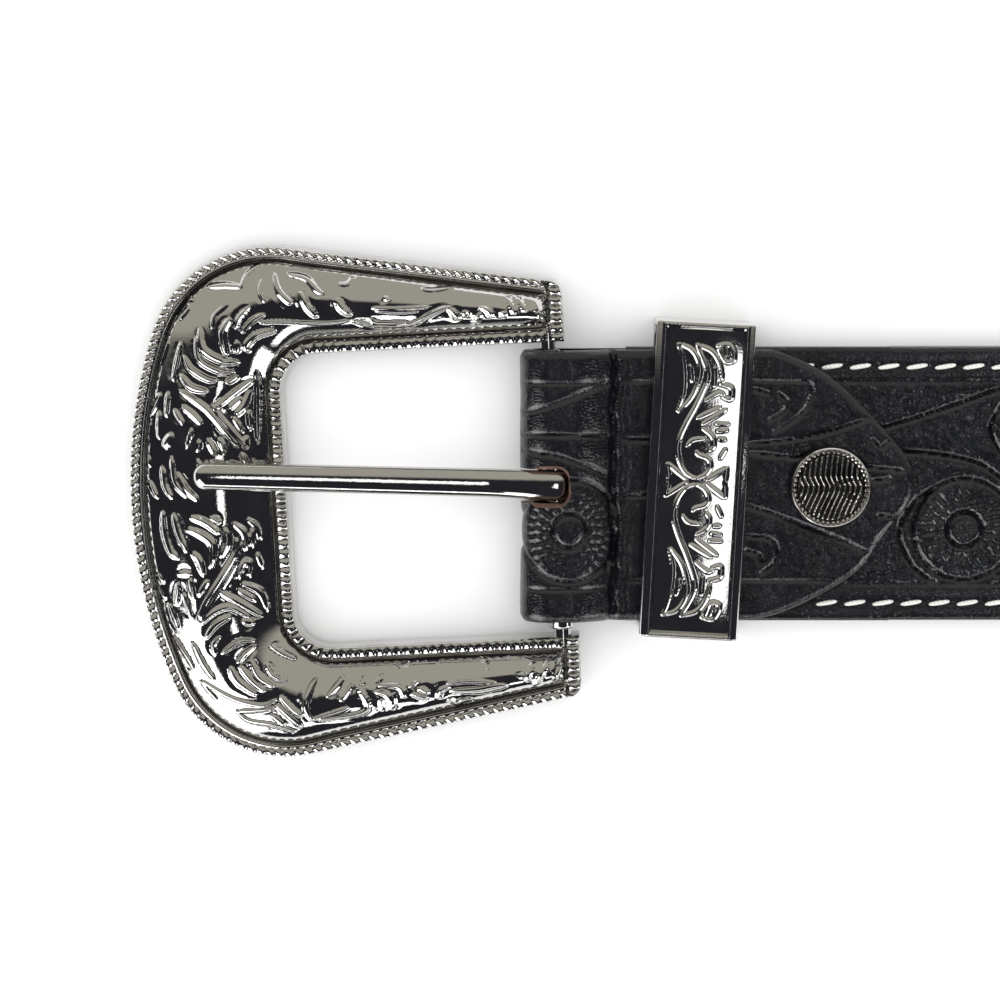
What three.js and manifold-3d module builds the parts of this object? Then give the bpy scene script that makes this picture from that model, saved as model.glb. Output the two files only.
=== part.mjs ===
// Western tooled belt with a chromed buckle set, lying flat and open, face up.
// Millimetres. The belt runs along +X from the buckle, +Y is across the strap, +Z is up from the floor.
// Every piece is made about the middle of the buckle's heel bar, and the finished group is centred.
import * as THREE from 'three';
import { mergeVertices } from 'three/addons/utils/BufferGeometryUtils.js';
import Module from 'manifold-3d';

const wasm = await Module();
wasm.setup();

// Clearances
const seat = 0.25; // between two pieces that touch
const barPlay = 0.4; // between the heel bar and the leather folded round it
const eyePlay = 0.35; // between the heel bar and the tongue's eye
const postPlay = 0.4; // between the stud's post and the holes in the leather

// Strap
const strapWidth = 38;
const strapThickness = 3;
const strapEdge = 0.7; // bevel along the cut edges
const barToMiddleHole = 914;
const holeCount = 5;
const holePitch = 25.4;
const holeDiameter = 5;
const lastHoleToTip = 95;
const tipLength = 34; // length of the rounded tip
const liftEnd = 55; // the strap starts to come down to the floor here
const liftRun = 40; // and takes this length to do it

// Chape, the leather folded round the heel bar
const chapeWidth = 37.4;
const chapeThickness = 1.8;
const chapeSkived = 1.2; // thickness of its back leg, which is let into the strap's back
const foldSlack = 0.9; // the fold's centre lies this far to the buckle's side of the bar
const bulgeRun = 2.6; // the fold stays high to here
const creaseRun = 7.9; // and meets the strap here
const flapReach = 49.4; // to the tip of the front flap
const backReach = 46;
const slotWidth = 5.5;
const slotReach = 3;
const slotCorner = 1.8;

// Buckle frame
const frameReach = 58.9;
const frameTail = 2.3; // the arms run past the heel bar by this much
const armHalfHeight = 28.8; // half the height across the arms' ends
const armTaper = 9.86; // degrees
const cornerRadius = 17.2;
const endBulge = 3.3; // the end bows out past the corners
const windowReach = 36.8;
const windowHalf = 20.2;
const windowCorner = 5;
const rimHeight = 4.3;
const armCrown = 6.4;
const endCrown = 7.7;
const borderWidth = 2.3;
const grooveDepth = 0.5;
const grooveWidth = 0.4;
const wallDraft = 0.35;
const footWidth = 1.8;
const shellThickness = 2.2; // the back is hollow
const lugLength = 4.5; // the arms are solid this far round the heel bar
const barRadius = 1.75;
const barHeight = 3; // above the frame's foot
const barAnchor = 3; // length of the bar inside each arm
const frameYaw = 3; // degrees, the frame lies a little askew
const frameShift = -0.6;
const leafHeight = 0.5;
const leafSink = 0.45;

// Tongue
const tongueReach = 49.7;
const tongueYaw = -2; // degrees
const tongueShift = 0.1;
const tongueWidth = 4.1;
const tongueTipWidth = 3.7;
const tongueNeckDepth = 2.5;
const tongueDepth = 2.9;
const tongueContact = 46.5; // it rests on the frame here
const eyeWall = 1.1;

// Keeper
const keeperCentre = 19.35;
const keeperShift = 1;
const keeperYaw = -3.1; // degrees
const keeperWidth = 13.5;
const keeperLength = 43.4;
const keeperEndWall = 1;
const keeperBack = 1;
const keeperTop = 0.7;
const keeperRoom = 3; // for the free end of the belt above the flap
const keeperCorner = 1;
const plateInset = 0.75; // the raised plate stands in from the keeper's edge
const plateHeight = 0.8;
const plateRim = 0.8;
const panelDepth = 0.3;
const lineWidth = 0.5;
const lineHeight = 0.3;

// Stud
const studCentre = 37.7;
const studRadius = 5.55;
const studHeight = 2.5;
const studRim = 0.5;
const studRidges = 13;
const ridgeHeight = 0.35;
const postRadius = 2.4;
const screwRadius = 1.5;
const screwHeadRadius = 5;
const screwHeadThickness = 0.9;
const screwPlay = 0.12;

// Levels, from the floor up
const strapLift = Math.max(keeperBack, screwHeadThickness) + seat;
const strapTop = strapLift + strapThickness;
const flapBottom = strapTop + seat;
const flapTop = flapBottom + chapeThickness;
const foldInner = barRadius + barPlay;
const foldOuter = foldInner + chapeThickness;
const barLevel = strapLift + foldOuter;
const frameTilt = Math.asin((barLevel - barHeight) / frameReach);
const radians = Math.PI / 180;

// A closed mesh as a solid that can be joined and cut
function solidOf(geometry) {
  const bare = geometry.clone();
  bare.deleteAttribute('normal');
  bare.deleteAttribute('uv');
  const merged = mergeVertices(bare, 1e-4);
  return new wasm.Manifold(new wasm.Mesh({
    numProp: 3,
    vertProperties: merged.attributes.position.array,
    triVerts: new Uint32Array(merged.index.array),
  }));
}

function pieceOf(name, solid, material) {
  const { vertProperties, triVerts, numProp } = solid.getMesh();
  const geometry = new THREE.BufferGeometry();
  const points = new Float32Array((vertProperties.length / numProp) * 3);
  for (let k = 0; k < points.length / 3; k += 1) {
    points.set(vertProperties.subarray(k * numProp, k * numProp + 3), k * 3);
  }
  geometry.setAttribute('position', new THREE.BufferAttribute(points, 3));
  geometry.setIndex(new THREE.BufferAttribute(triVerts, 1));
  geometry.computeVertexNormals();
  const piece = new THREE.Mesh(geometry, material);
  piece.name = name;
  return piece;
}

// The triangles that close a flat ring, in the ring's own order
function capOf(ring) {
  const normal = new THREE.Vector3();
  for (let k = 1; k + 1 < ring.length; k += 1) {
    const first = ring[k].clone().sub(ring[0]);
    normal.add(first.cross(ring[k + 1].clone().sub(ring[0])));
  }
  normal.normalize();
  const across = ring[1].clone().sub(ring[0]).normalize();
  const up = normal.clone().cross(across);
  const flat = ring.map((p) => {
    const from = p.clone().sub(ring[0]);
    return new THREE.Vector2(from.dot(across), from.dot(up));
  });
  return THREE.ShapeUtils.triangulateShape(flat, []);
}

// A closed solid through flat rings that have equally many points
function loft(rings) {
  const size = rings[0].length;
  const points = rings.flat();
  const last = points.length - size;
  const faces = [];
  for (let r = 0; r < last; r += size) {
    for (let k = 0; k < size; k += 1) {
      const a = r + k;
      const b = r + (k + 1) % size;
      faces.push([a, b, a + size], [b, b + size, a + size]);
    }
  }
  capOf(rings[0]).forEach(([a, b, c]) => faces.push([a, c, b]));
  capOf(rings.at(-1)).forEach(([a, b, c]) => faces.push([last + a, last + b, last + c]));
  let volume = 0;
  faces.forEach(([a, b, c]) => {
    volume += points[a].dot(points[b].clone().cross(points[c]));
  });
  const index = faces.flatMap(([a, b, c]) => (volume > 0 ? [a, b, c] : [a, c, b]));
  const geometry = new THREE.BufferGeometry().setFromPoints(points);
  geometry.setIndex(index);
  return solidOf(geometry);
}

// A solid standing on a plan outline, from one level to another
function prism(shape, low, high, segments = 12) {
  const geometry = new THREE.ExtrudeGeometry(shape, {
    depth: high - low, bevelEnabled: false, curveSegments: segments,
  });
  geometry.translate(0, 0, low);
  return solidOf(geometry);
}

// A solid of a side outline in X and Z, as wide as said in Y
function sideways(shape, width, segments = 12) {
  const geometry = new THREE.ExtrudeGeometry(shape, {
    depth: width, bevelEnabled: false, curveSegments: segments,
  });
  geometry.rotateX(Math.PI / 2);
  geometry.translate(0, width / 2, 0);
  return solidOf(geometry);
}

function upright(radius, x, y, low, high, sides = 24) {
  const geometry = new THREE.CylinderGeometry(radius, radius, high - low, sides);
  geometry.rotateX(Math.PI / 2);
  geometry.translate(x, y, (low + high) / 2);
  return solidOf(geometry);
}

function boxOf(x0, x1, y0, y1, z0, z1) {
  const geometry = new THREE.BoxGeometry(x1 - x0, y1 - y0, z1 - z0);
  geometry.translate((x0 + x1) / 2, (y0 + y1) / 2, (z0 + z1) / 2);
  return solidOf(geometry);
}

// A raised leaf or line along a curve: sharp on top, pointed at both ends, its root under the surface
function ridge(curve, width, height, sink, levelAt, steps = 6) {
  const rings = [];
  for (let k = 0; k <= steps; k += 1) {
    const share = k / steps;
    const fat = Math.max(Math.sin(Math.PI * share) ** 0.7, 0.15);
    const p = curve.getPoint(share);
    const along = curve.getTangent(share);
    const side = new THREE.Vector2(-along.y, along.x).multiplyScalar(width * fat / 2);
    const level = levelAt(p.x, p.y);
    rings.push([
      new THREE.Vector3(p.x + side.x, p.y + side.y, level - sink / 2),
      new THREE.Vector3(p.x, p.y, level + height * fat),
      new THREE.Vector3(p.x - side.x, p.y - side.y, level - sink / 2),
      new THREE.Vector3(p.x, p.y, level - sink),
    ]);
  }
  return loft(rings);
}

// The level of a solid's upper face at a place in plan
function levelFinder(solid) {
  const probe = pieceOf('probe', solid, new THREE.MeshBasicMaterial());
  const ray = new THREE.Raycaster();
  const down = new THREE.Vector3(0, 0, -1);
  const above = solid.boundingBox().max[2] + 1;
  return (x, y) => {
    ray.set(new THREE.Vector3(x, y, above), down);
    return ray.intersectObject(probe)[0].point.z;
  };
}

// Strap: two plies of harness leather stitched together, cut with a rounded tip and a row of holes.
// Its buckle end is skived on the back to take the chape's back leg.
function makeStrap() {
  const start = creaseRun + chapeThickness;
  const lastHole = barToMiddleHole + holePitch * (holeCount - 1) / 2;
  const end = lastHole + lastHoleToTip;
  const half = strapWidth / 2;

  const ringAt = (x, halfWidth) => {
    const down = THREE.MathUtils.smoothstep(x, liftEnd, liftEnd + liftRun);
    const low = strapLift * (1 - down);
    const high = low + strapThickness;
    const edge = strapEdge;
    return [
      [halfWidth, low + edge], [halfWidth - edge, low], [edge - halfWidth, low], [-halfWidth, low + edge],
      [-halfWidth, high - edge], [edge - halfWidth, high], [halfWidth - edge, high], [halfWidth, high - edge],
    ].map(([y, z]) => new THREE.Vector3(x, y, z));
  };

  const rings = [ringAt(start, half)];
  const liftSteps = 10;
  for (let k = 0; k <= liftSteps; k += 1) {
    rings.push(ringAt(liftEnd + liftRun * k / liftSteps, half));
  }
  const tipSteps = 10;
  const bluntest = 0.9; // share of a quarter turn at which the tip is cut square
  for (let k = 0; k <= tipSteps; k += 1) {
    const turn = bluntest * (k / tipSteps) * Math.PI / 2;
    const reach = Math.sin(turn) / Math.sin(bluntest * Math.PI / 2);
    rings.push(ringAt(end - tipLength * (1 - reach), half * Math.cos(turn)));
  }

  let strap = loft(rings);
  const pocketEnd = backReach + seat;
  const pocketLevel = strapLift + chapeSkived + seat;
  strap = strap.subtract(boxOf(0, pocketEnd, -strapWidth, strapWidth, -1, pocketLevel));
  strap = strap.subtract(upright(postRadius + postPlay, studCentre, 0, 0, flapTop));
  for (let k = 0; k < holeCount; k += 1) {
    const x = lastHole - holePitch * k;
    strap = strap.subtract(upright(holeDiameter / 2, x, 0, -1, strapTop));
  }
  return strap;
}

// Chape: one piece of tooled leather, folded round the heel bar. Its front leg ends in a pointed flap on
// the strap, its back leg lies in the strap's skived end, and a slot through the fold lets the tongue out.
function makeChape() {
  const foldTop = barLevel + foldOuter;
  const drop = foldTop - flapTop;
  const side = new THREE.Shape();
  side.moveTo(backReach, strapLift);
  side.lineTo(-foldSlack, strapLift);
  side.absarc(-foldSlack, barLevel, foldOuter, -Math.PI / 2, -Math.PI * 1.5, true);
  side.lineTo(bulgeRun - foldSlack, foldTop);
  const slope = creaseRun - bulgeRun;
  side.bezierCurveTo(
    bulgeRun + slope * 0.35, foldTop, creaseRun - slope * 0.3, flapTop + drop * 0.3, creaseRun, flapTop,
  );
  side.lineTo(flapReach + 1, flapTop);
  side.lineTo(flapReach + 1, flapBottom);
  side.lineTo(creaseRun + chapeThickness / 2, flapBottom);
  side.bezierCurveTo(
    creaseRun - slope * 0.35, flapBottom + drop * 0.15,
    bulgeRun + slope * 0.2, foldTop - chapeThickness, bulgeRun - foldSlack, foldTop - chapeThickness,
  );
  side.lineTo(-foldSlack, barLevel + foldInner);
  side.absarc(-foldSlack, barLevel, foldInner, Math.PI / 2, Math.PI * 1.5, false);
  side.lineTo(bulgeRun, barLevel - foldInner);
  side.lineTo(creaseRun, strapLift + chapeSkived);
  side.lineTo(backReach, strapLift + chapeSkived);
  side.closePath();

  // The flap's outline: along as a share of its reach, across as a share of half its width
  const flapOutline = [
    { along: 0.50, across: -1.02 }, { along: 0.62, across: -0.955 }, { along: 0.74, across: -0.81 },
    { along: 0.85, across: -0.62 }, { along: 0.915, across: -0.37 }, { along: 0.98, across: -0.16 },
    { along: 1.00, across: 0.03 }, { along: 0.975, across: 0.22 }, { along: 0.885, across: 0.50 },
    { along: 0.76, across: 0.81 }, { along: 0.62, across: 0.985 }, { along: 0.50, across: 1.03 },
  ].map(({ along, across }) => new THREE.Vector2(along * flapReach, across * chapeWidth / 2));
  const beyond = flapReach + 5;
  const offcut = new THREE.Shape();
  offcut.moveTo(flapOutline[0].x, -strapWidth);
  offcut.lineTo(flapOutline[0].x, flapOutline[0].y);
  offcut.splineThru(flapOutline.slice(1));
  offcut.lineTo(flapOutline[0].x, strapWidth);
  offcut.lineTo(beyond, strapWidth);
  offcut.lineTo(beyond, -strapWidth);
  offcut.closePath();

  const slotHalf = slotWidth / 2;
  const slot = new THREE.Shape();
  slot.moveTo(-2 * foldOuter, -slotHalf);
  slot.lineTo(slotReach - slotCorner, -slotHalf);
  slot.absarc(slotReach - slotCorner, slotCorner - slotHalf, slotCorner, -Math.PI / 2, 0, false);
  slot.absarc(slotReach - slotCorner, slotHalf - slotCorner, slotCorner, 0, Math.PI / 2, false);
  slot.lineTo(-2 * foldOuter, slotHalf);
  slot.closePath();

  return sideways(side, chapeWidth, 10)
    .subtract(prism(offcut, strapTop, foldTop + 1, 3))
    .subtract(prism(slot, 0, foldTop + 1, 6).translate([0, tongueShift, 0]))
    .subtract(upright(postRadius + postPlay, studCentre, 0, 0, flapTop + 1));
}

// Buckle frame: one casting with a domed face, raised borders and leaves, a hollow back and a heel bar.
// Here u runs from the heel bar to the frame's end and v across it, both in plan.
function makeFrame() {
  const taper = armTaper * radians;
  const armEdge = (u) => armHalfHeight + (u + frameTail) * Math.tan(taper);
  const cornerCentre = new THREE.Vector2(frameReach - endBulge - cornerRadius, 0);
  cornerCentre.y = armEdge(cornerCentre.x) - cornerRadius / Math.cos(taper);
  const fromEnd = frameReach - cornerCentre.x;
  const endRadius = (fromEnd ** 2 + cornerCentre.y ** 2 - cornerRadius ** 2) / (2 * (fromEnd - cornerRadius));
  const endCentre = new THREE.Vector2(frameReach - endRadius, 0);
  const cornerStart = Math.PI / 2 + taper;
  const cornerEnd = cornerCentre.clone().sub(endCentre).angle();

  const hitCircle = (from, way, centre, radius) => {
    const toCentre = centre.clone().sub(from);
    const along = toCentre.dot(way);
    const reach = along + Math.sqrt(radius ** 2 - toCentre.lengthSq() + along ** 2);
    return from.clone().addScaledVector(way, reach);
  };
  // Where a line from the window's corner meets the frame's outline, above the centre line
  const outerPoint = (from, way) => {
    const onCorner = hitCircle(from, way, cornerCentre, cornerRadius);
    const turn = onCorner.clone().sub(cornerCentre).angle();
    if (turn < cornerEnd || turn > Math.PI * 1.5) return hitCircle(from, way, endCentre, endRadius);
    if (turn < cornerStart) return onCorner;
    const reach = (armEdge(from.x) - from.y) / (way.y - way.x * Math.tan(taper));
    return from.clone().addScaledVector(way, reach);
  };

  // One section across the frame: over the face from its outer edge to the window, and back below
  const crownSteps = 6;
  const armWidth = armHalfHeight - windowHalf;
  const section = ({ outer, inner, dome, sunk, hollow, flip }) => {
    const width = outer.distanceTo(inner);
    const share = THREE.MathUtils.clamp((width - armWidth) / (frameReach - windowReach - armWidth), 0, 1);
    const crown = armCrown + (endCrown - armCrown) * share;
    const base = rimHeight - grooveDepth * sunk;
    const edge = borderWidth + grooveWidth;
    const domeWidth = width - 2 * edge;
    const profile = [
      [0, 0], [wallDraft, rimHeight - wallDraft], [2 * wallDraft, rimHeight], [borderWidth, rimHeight],
    ];
    for (let k = 0; k <= crownSteps; k += 1) {
      const lift = Math.sin(Math.PI * k / crownSteps) ** 0.8;
      profile.push([edge + domeWidth * k / crownSteps, base + (crown - base) * dome * lift]);
    }
    const vault = (crown - shellThickness) * hollow;
    const shoulder = (rimHeight - grooveDepth - shellThickness) * hollow;
    profile.push(
      [width - borderWidth, rimHeight], [width - 2 * wallDraft, rimHeight],
      [width - wallDraft, rimHeight - wallDraft], [width, 0], [width - footWidth, 0],
      [width - edge, shoulder], [width / 2, vault], [edge, shoulder], [footWidth, 0],
    );
    return profile.map(([inset, height]) => {
      const p = outer.clone().lerp(inner, inset / width);
      return new THREE.Vector3(-p.x, flip * p.y, height - barHeight);
    });
  };

  // The stations of the upper half, from the arm's end round the corner to the centre line
  const edge = borderWidth + grooveWidth;
  const armPlaces = [
    { at: -frameTail, dome: 0, sunk: 0, hollow: 0 },
    { at: borderWidth - frameTail, dome: 0, sunk: 0, hollow: 0 },
    { at: edge - frameTail, dome: 0, sunk: 1, hollow: 0 },
    { at: edge - frameTail + 1.5, dome: 0.75, sunk: 1, hollow: 0 },
    { at: lugLength, dome: 1, sunk: 1, hollow: 0 },
    { at: lugLength + 1, dome: 1, sunk: 1, hollow: 1 },
  ];
  const pivot = new THREE.Vector2(windowReach - windowCorner, windowHalf - windowCorner);
  const armSteps = 4;
  for (let k = 1; k <= armSteps; k += 1) {
    const from = lugLength + 1;
    armPlaces.push({ at: from + (pivot.x - from) * k / armSteps, dome: 1, sunk: 1, hollow: 1 });
  }
  const stations = armPlaces.map(({ at, ...rest }) => ({
    outer: new THREE.Vector2(at, armEdge(at)), inner: new THREE.Vector2(at, windowHalf), ...rest,
  }));
  const whole = { dome: 1, sunk: 1, hollow: 1 };
  const fanSteps = 10;
  for (let k = 1; k <= fanSteps; k += 1) {
    const turn = (Math.PI / 2) * (1 - k / fanSteps);
    const way = new THREE.Vector2(Math.cos(turn), Math.sin(turn));
    const inner = pivot.clone().addScaledVector(way, windowCorner);
    stations.push({ outer: outerPoint(pivot, way), inner, ...whole });
  }
  const endSteps = 4;
  for (let k = 1; k <= endSteps; k += 1) {
    const v = pivot.y * (1 - k / endSteps);
    const outer = new THREE.Vector2(endCentre.x + Math.sqrt(endRadius ** 2 - v ** 2), v);
    stations.push({ outer, inner: new THREE.Vector2(windowReach, v), ...whole });
  }
  const upper = stations.map((station) => section({ ...station, flip: 1 }));
  const lower = stations.slice(0, -1).reverse().map((station) => section({ ...station, flip: -1 }));
  const casting = loft([...upper, ...lower]);

  const bar = new THREE.CylinderGeometry(barRadius, barRadius, 2 * (windowHalf + barAnchor), 24);

  // Raised leaves, on both halves. Along is a share of the frame's reach and across of half its height
  const crest = armEdge(cornerCentre.x);
  const leaves = [
    { from: [0.803, 0.695], bend: [0.792, 0.575], to: [0.718, 0.56], width: 1.6 },
    { from: [0.845, 0.59], bend: [0.82, 0.51], to: [0.768, 0.495], width: 1.5 },
    { from: [0.855, 0.515], bend: [0.83, 0.455], to: [0.79, 0.45], width: 1.4 },
    { from: [0.858, 0.455], bend: [0.79, 0.37], to: [0.735, 0.24], width: 1.2 },
    { from: [0.735, 0.78], bend: [0.78, 0.75], to: [0.776, 0.69], width: 1.1 },
    { from: [0.73, 0.73], bend: [0.765, 0.66], to: [0.745, 0.59], width: 1.4 },
    { from: [0.63, 0.68], bend: [0.69, 0.68], to: [0.696, 0.6], width: 1.5 },
    { from: [0.69, 0.49], bend: [0.735, 0.44], to: [0.78, 0.39], width: 1.2 },
    { from: [0.852, 0.65], bend: [0.87, 0.56], to: [0.876, 0.5], width: 1.1 },
    { from: [0.89, 0.46], bend: [0.897, 0.41], to: [0.895, 0.35], width: 1.2 },
    { from: [0.884, 0.3], bend: [0.905, 0.26], to: [0.906, 0.24], width: 1.6 },
    { from: [0.917, 0.18], bend: [0.915, 0.1], to: [0.893, 0.04], width: 1.4 },
    { from: [0.89, 0.21], bend: [0.885, 0.1], to: [0.855, 0.05], width: 1.4 },
    { from: [0.625, 0.87], bend: [0.62, 0.8], to: [0.586, 0.785], width: 1.5 },
    { from: [0.567, 0.815], bend: [0.555, 0.75], to: [0.532, 0.722], width: 1.4 },
    { from: [0.483, 0.785], bend: [0.475, 0.74], to: [0.449, 0.72], width: 1.4 },
    { from: [0.41, 0.705], bend: [0.38, 0.67], to: [0.322, 0.685], width: 1.2 },
    { from: [0.222, 0.73], bend: [0.213, 0.705], to: [0.199, 0.683], width: 1.2 },
    { from: [0.088, 0.755], bend: [0.078, 0.72], to: [0.071, 0.69], width: 1.1 },
  ];
  const levelAt = levelFinder(casting);
  const placed = ([along, across], way) => new THREE.Vector2(-along * frameReach, way * across * crest);
  const raised = [1, -1].flatMap((way) => leaves.map(({ from, bend, to, width }) => {
    const curve = new THREE.QuadraticBezierCurve(placed(from, way), placed(bend, way), placed(to, way));
    return ridge(curve, width, leafHeight, leafSink, levelAt, 5);
  }));
  return wasm.Manifold.union([casting, solidOf(bar), ...raised]);
}

// Tongue: a chromed rod with an eye that turns on the heel bar
function makeTongue() {
  const eyeInner = barRadius + eyePlay;
  const eyeOuter = eyeInner + eyeWall;
  const eye = new THREE.CylinderGeometry(eyeOuter, eyeOuter, tongueWidth, 28);
  const bore = new THREE.CylinderGeometry(eyeInner, eyeInner, tongueWidth + 2, 28);
  const sides = 14;
  // Along as a share of the reach past the eye, width and depth as shares of the full ones
  const stations = [
    { along: -0.01, width: 0.94, depth: 0 }, { along: 0.05, width: 0.97, depth: 0 },
    { along: 0.16, width: 1, depth: 1 }, { along: 0.95, width: 1, depth: 1 },
    { along: 0.972, width: 0.9, depth: 1 }, { along: 0.99, width: 0.68, depth: 1 },
    { along: 1, width: 0.36, depth: 1 },
  ];
  const rings = stations.map(({ along, width, depth }) => {
    const s = eyeOuter + (tongueReach - eyeOuter) * along;
    const full = THREE.MathUtils.lerp(tongueWidth, tongueTipWidth, Math.max(along, 0));
    const deep = THREE.MathUtils.lerp(tongueNeckDepth, tongueDepth, depth);
    const shrink = along > 0.96 ? width : 1;
    return Array.from({ length: sides }, (_, k) => {
      const turn = (2 * Math.PI * k) / sides;
      const square = (value) => Math.sign(value) * Math.abs(value) ** 0.75;
      const y = square(Math.cos(turn)) * full * width / 2;
      const z = square(Math.sin(turn)) * deep * shrink / 2;
      return new THREE.Vector3(-s, y, z);
    });
  });
  return solidOf(eye).add(loft(rings)).subtract(solidOf(bore));
}

// Keeper: a chromed loop round the strap and flap, with a raised plate, a sunk panel and scroll lines
function makeKeeper() {
  const half = keeperLength / 2;
  const innerHalf = half - keeperEndWall;
  const roof = flapTop + keeperRoom;
  const shoulder = roof + keeperTop;
  const face = shoulder + plateHeight;
  const rounded = (reach, low, high, radius) => {
    const shape = new THREE.Shape();
    shape.moveTo(radius - reach, low);
    shape.lineTo(reach - radius, low);
    shape.absarc(reach - radius, low + radius, radius, -Math.PI / 2, 0, false);
    shape.lineTo(reach, high - radius);
    shape.absarc(reach - radius, high - radius, radius, 0, Math.PI / 2, false);
    shape.lineTo(radius - reach, high);
    shape.absarc(radius - reach, high - radius, radius, Math.PI / 2, Math.PI, false);
    shape.lineTo(-reach, low + radius);
    shape.absarc(radius - reach, low + radius, radius, Math.PI, Math.PI * 1.5, false);
    return shape;
  };
  const loop = rounded(half, 0, shoulder, keeperCorner * 0.8);
  loop.holes.push(rounded(innerHalf, keeperBack, roof, keeperCorner * 0.4));
  const band = sideways(loop, keeperWidth, 4).rotate([0, 0, 90]);

  const plateHalf = keeperWidth / 2 - plateInset;
  const plate = boxOf(-plateHalf, plateHalf, -half, half, shoulder - keeperTop / 2, face);
  const panelX = plateHalf - plateRim;
  const panelY = half - plateRim;
  const panel = boxOf(-panelX, panelX, -panelY, panelY, face - panelDepth, face + 1);

  // Scroll lines of the upper half, mirrored below. Across and along are shares of the panel's halves
  const lines = [
    [[0.02, 0.74], [0.14, 0.66], [-0.2, 0.48], [-0.55, 0.29]],
    [[-0.55, 0.29], [-0.72, 0.12], [-0.35, 0.03], [-0.03, 0.03]],
    [[-0.03, 0.03], [0.3, 0.04], [0.42, 0.14], [0.0, 0.17]],
    [[-0.78, 0.89], [-0.1, 0.86], [-0.02, 0.6], [-0.68, 0.44]],
    [[-0.7, 0.85], [-0.5, 0.72], [-0.5, 0.57], [-0.7, 0.45]],
    [[-0.25, 0.89], [0.25, 0.86], [0.42, 0.78], [0.5, 0.67]],
    [[-0.12, 0.41], [0.2, 0.45], [0.4, 0.48], [0.6, 0.53]],
    [[0.05, 0.35], [0.3, 0.32], [0.48, 0.24], [0.2, 0.2]],
    [[-0.85, 0.11], [-0.65, 0.08], [-0.45, 0.04], [-0.3, 0.01]],
    [[0.25, 0.02], [0.4, 0.04], [0.55, 0.07], [0.76, 0.1]],
  ];
  const floor = face - panelDepth;
  const raised = [1, -1].flatMap((way) => lines.map((points) => {
    const knots = points.map(([across, along]) => new THREE.Vector2(across * panelX, way * along * panelY));
    return ridge(new THREE.CubicBezierCurve(...knots), lineWidth, lineHeight, lineHeight, () => floor, 5);
  }));
  const facing = plate.subtract(panel);
  return wasm.Manifold.union([band, facing, ...raised]);
}

// Stud: the front half of a screwed rivet, a ridged disc on a hollow post
function makeStudCap() {
  const low = flapTop + seat / 2;
  const high = flapTop + studHeight;
  const face = high - ridgeHeight;
  const postEnd = strapLift;
  const boreRadius = screwRadius + screwPlay;
  const boreTop = low + studHeight / 3;
  const profile = [
    [boreRadius, postEnd], [postRadius, postEnd], [postRadius, low], [studRadius - studRim, low],
    [studRadius, low + studRim], [studRadius, high - studRim], [studRadius - studRim / 2, high],
    [studRadius - studRim * 1.5, high], [studRadius - studRim * 2, face], [0, face], [0, boreTop],
    [boreRadius, boreTop], [boreRadius, postEnd],
  ].map(([r, z]) => new THREE.Vector2(r, z));
  const body = new THREE.LatheGeometry(profile, 36);
  body.rotateX(Math.PI / 2);
  const lathed = solidOf(body);
  const disc = lathed.volume() > 0 ? lathed : solidOf(flipped(body));

  const reach = studRadius - studRim * 1.8;
  const pitch = (2 * reach) / (studRidges + 1);
  const ridges = Array.from({ length: studRidges }, (_, k) => {
    const x = pitch * (k + 1) - reach;
    const y = Math.sqrt(reach ** 2 - x ** 2) - pitch / 3;
    return boxOf(x - pitch / 4, x + pitch / 4, -y, y, face - ridgeHeight, high);
  });
  return wasm.Manifold.union([disc, ...ridges]).translate([studCentre, 0, 0]);
}

// The same mesh with its faces turned over
function flipped(geometry) {
  const turned = geometry.clone();
  const order = turned.index.array;
  for (let k = 0; k < order.length; k += 3) {
    [order[k + 1], order[k + 2]] = [order[k + 2], order[k + 1]];
  }
  return turned;
}

// Screw: a flat head under the strap and a shank inside the stud's post
function makeStudScrew() {
  const headTop = strapLift - seat;
  const headLow = headTop - screwHeadThickness;
  const shankTop = flapTop;
  return upright(screwHeadRadius, studCentre, 0, headLow, headTop, 36)
    .add(upright(screwRadius, studCentre, 0, headTop - 0.2, shankTop, 20));
}

const blackLeather = () => new THREE.MeshStandardMaterial({ color: 0x17171b, roughness: 0.5, metalness: 0 });
const chrome = (color) => new THREE.MeshStandardMaterial({ color, roughness: 0.12, metalness: 1 });

const strap = pieceOf('strap', makeStrap(), blackLeather());
const chape = pieceOf('buckle_chape', makeChape(), blackLeather());
const frame = pieceOf('buckle_frame', makeFrame(), chrome(0xd8d8da));
frame.position.set(0, frameShift, barLevel);
frame.rotation.set(0, -frameTilt, frameYaw * radians, 'ZYX');

const tongue = pieceOf('tongue', makeTongue(), chrome(0xcfcfd2));
const resting = endCrown - barHeight + leafHeight + seat + tongueDepth / 2;
const tongueRise = Math.atan2(resting, tongueContact) - frameTilt;
tongue.position.set(0, tongueShift, barLevel);
tongue.rotation.set(0, tongueRise, tongueYaw * radians, 'ZYX');

const keeper = pieceOf('keeper', makeKeeper(), chrome(0xd8d8da));
keeper.position.set(keeperCentre, keeperShift, 0);
keeper.rotation.z = keeperYaw * radians;

const studCap = pieceOf('stud_cap', makeStudCap(), chrome(0xd2d0cc));
const studScrew = pieceOf('stud_screw', makeStudScrew(), chrome(0xc8c8ca));

const belt = new THREE.Group();
belt.add(strap, chape, frame, tongue, keeper, studCap, studScrew);
const bounds = new THREE.Box3().setFromObject(belt, true);
belt.position.x = -(bounds.min.x + bounds.max.x) / 2;

export default belt;
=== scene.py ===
import math

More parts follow.
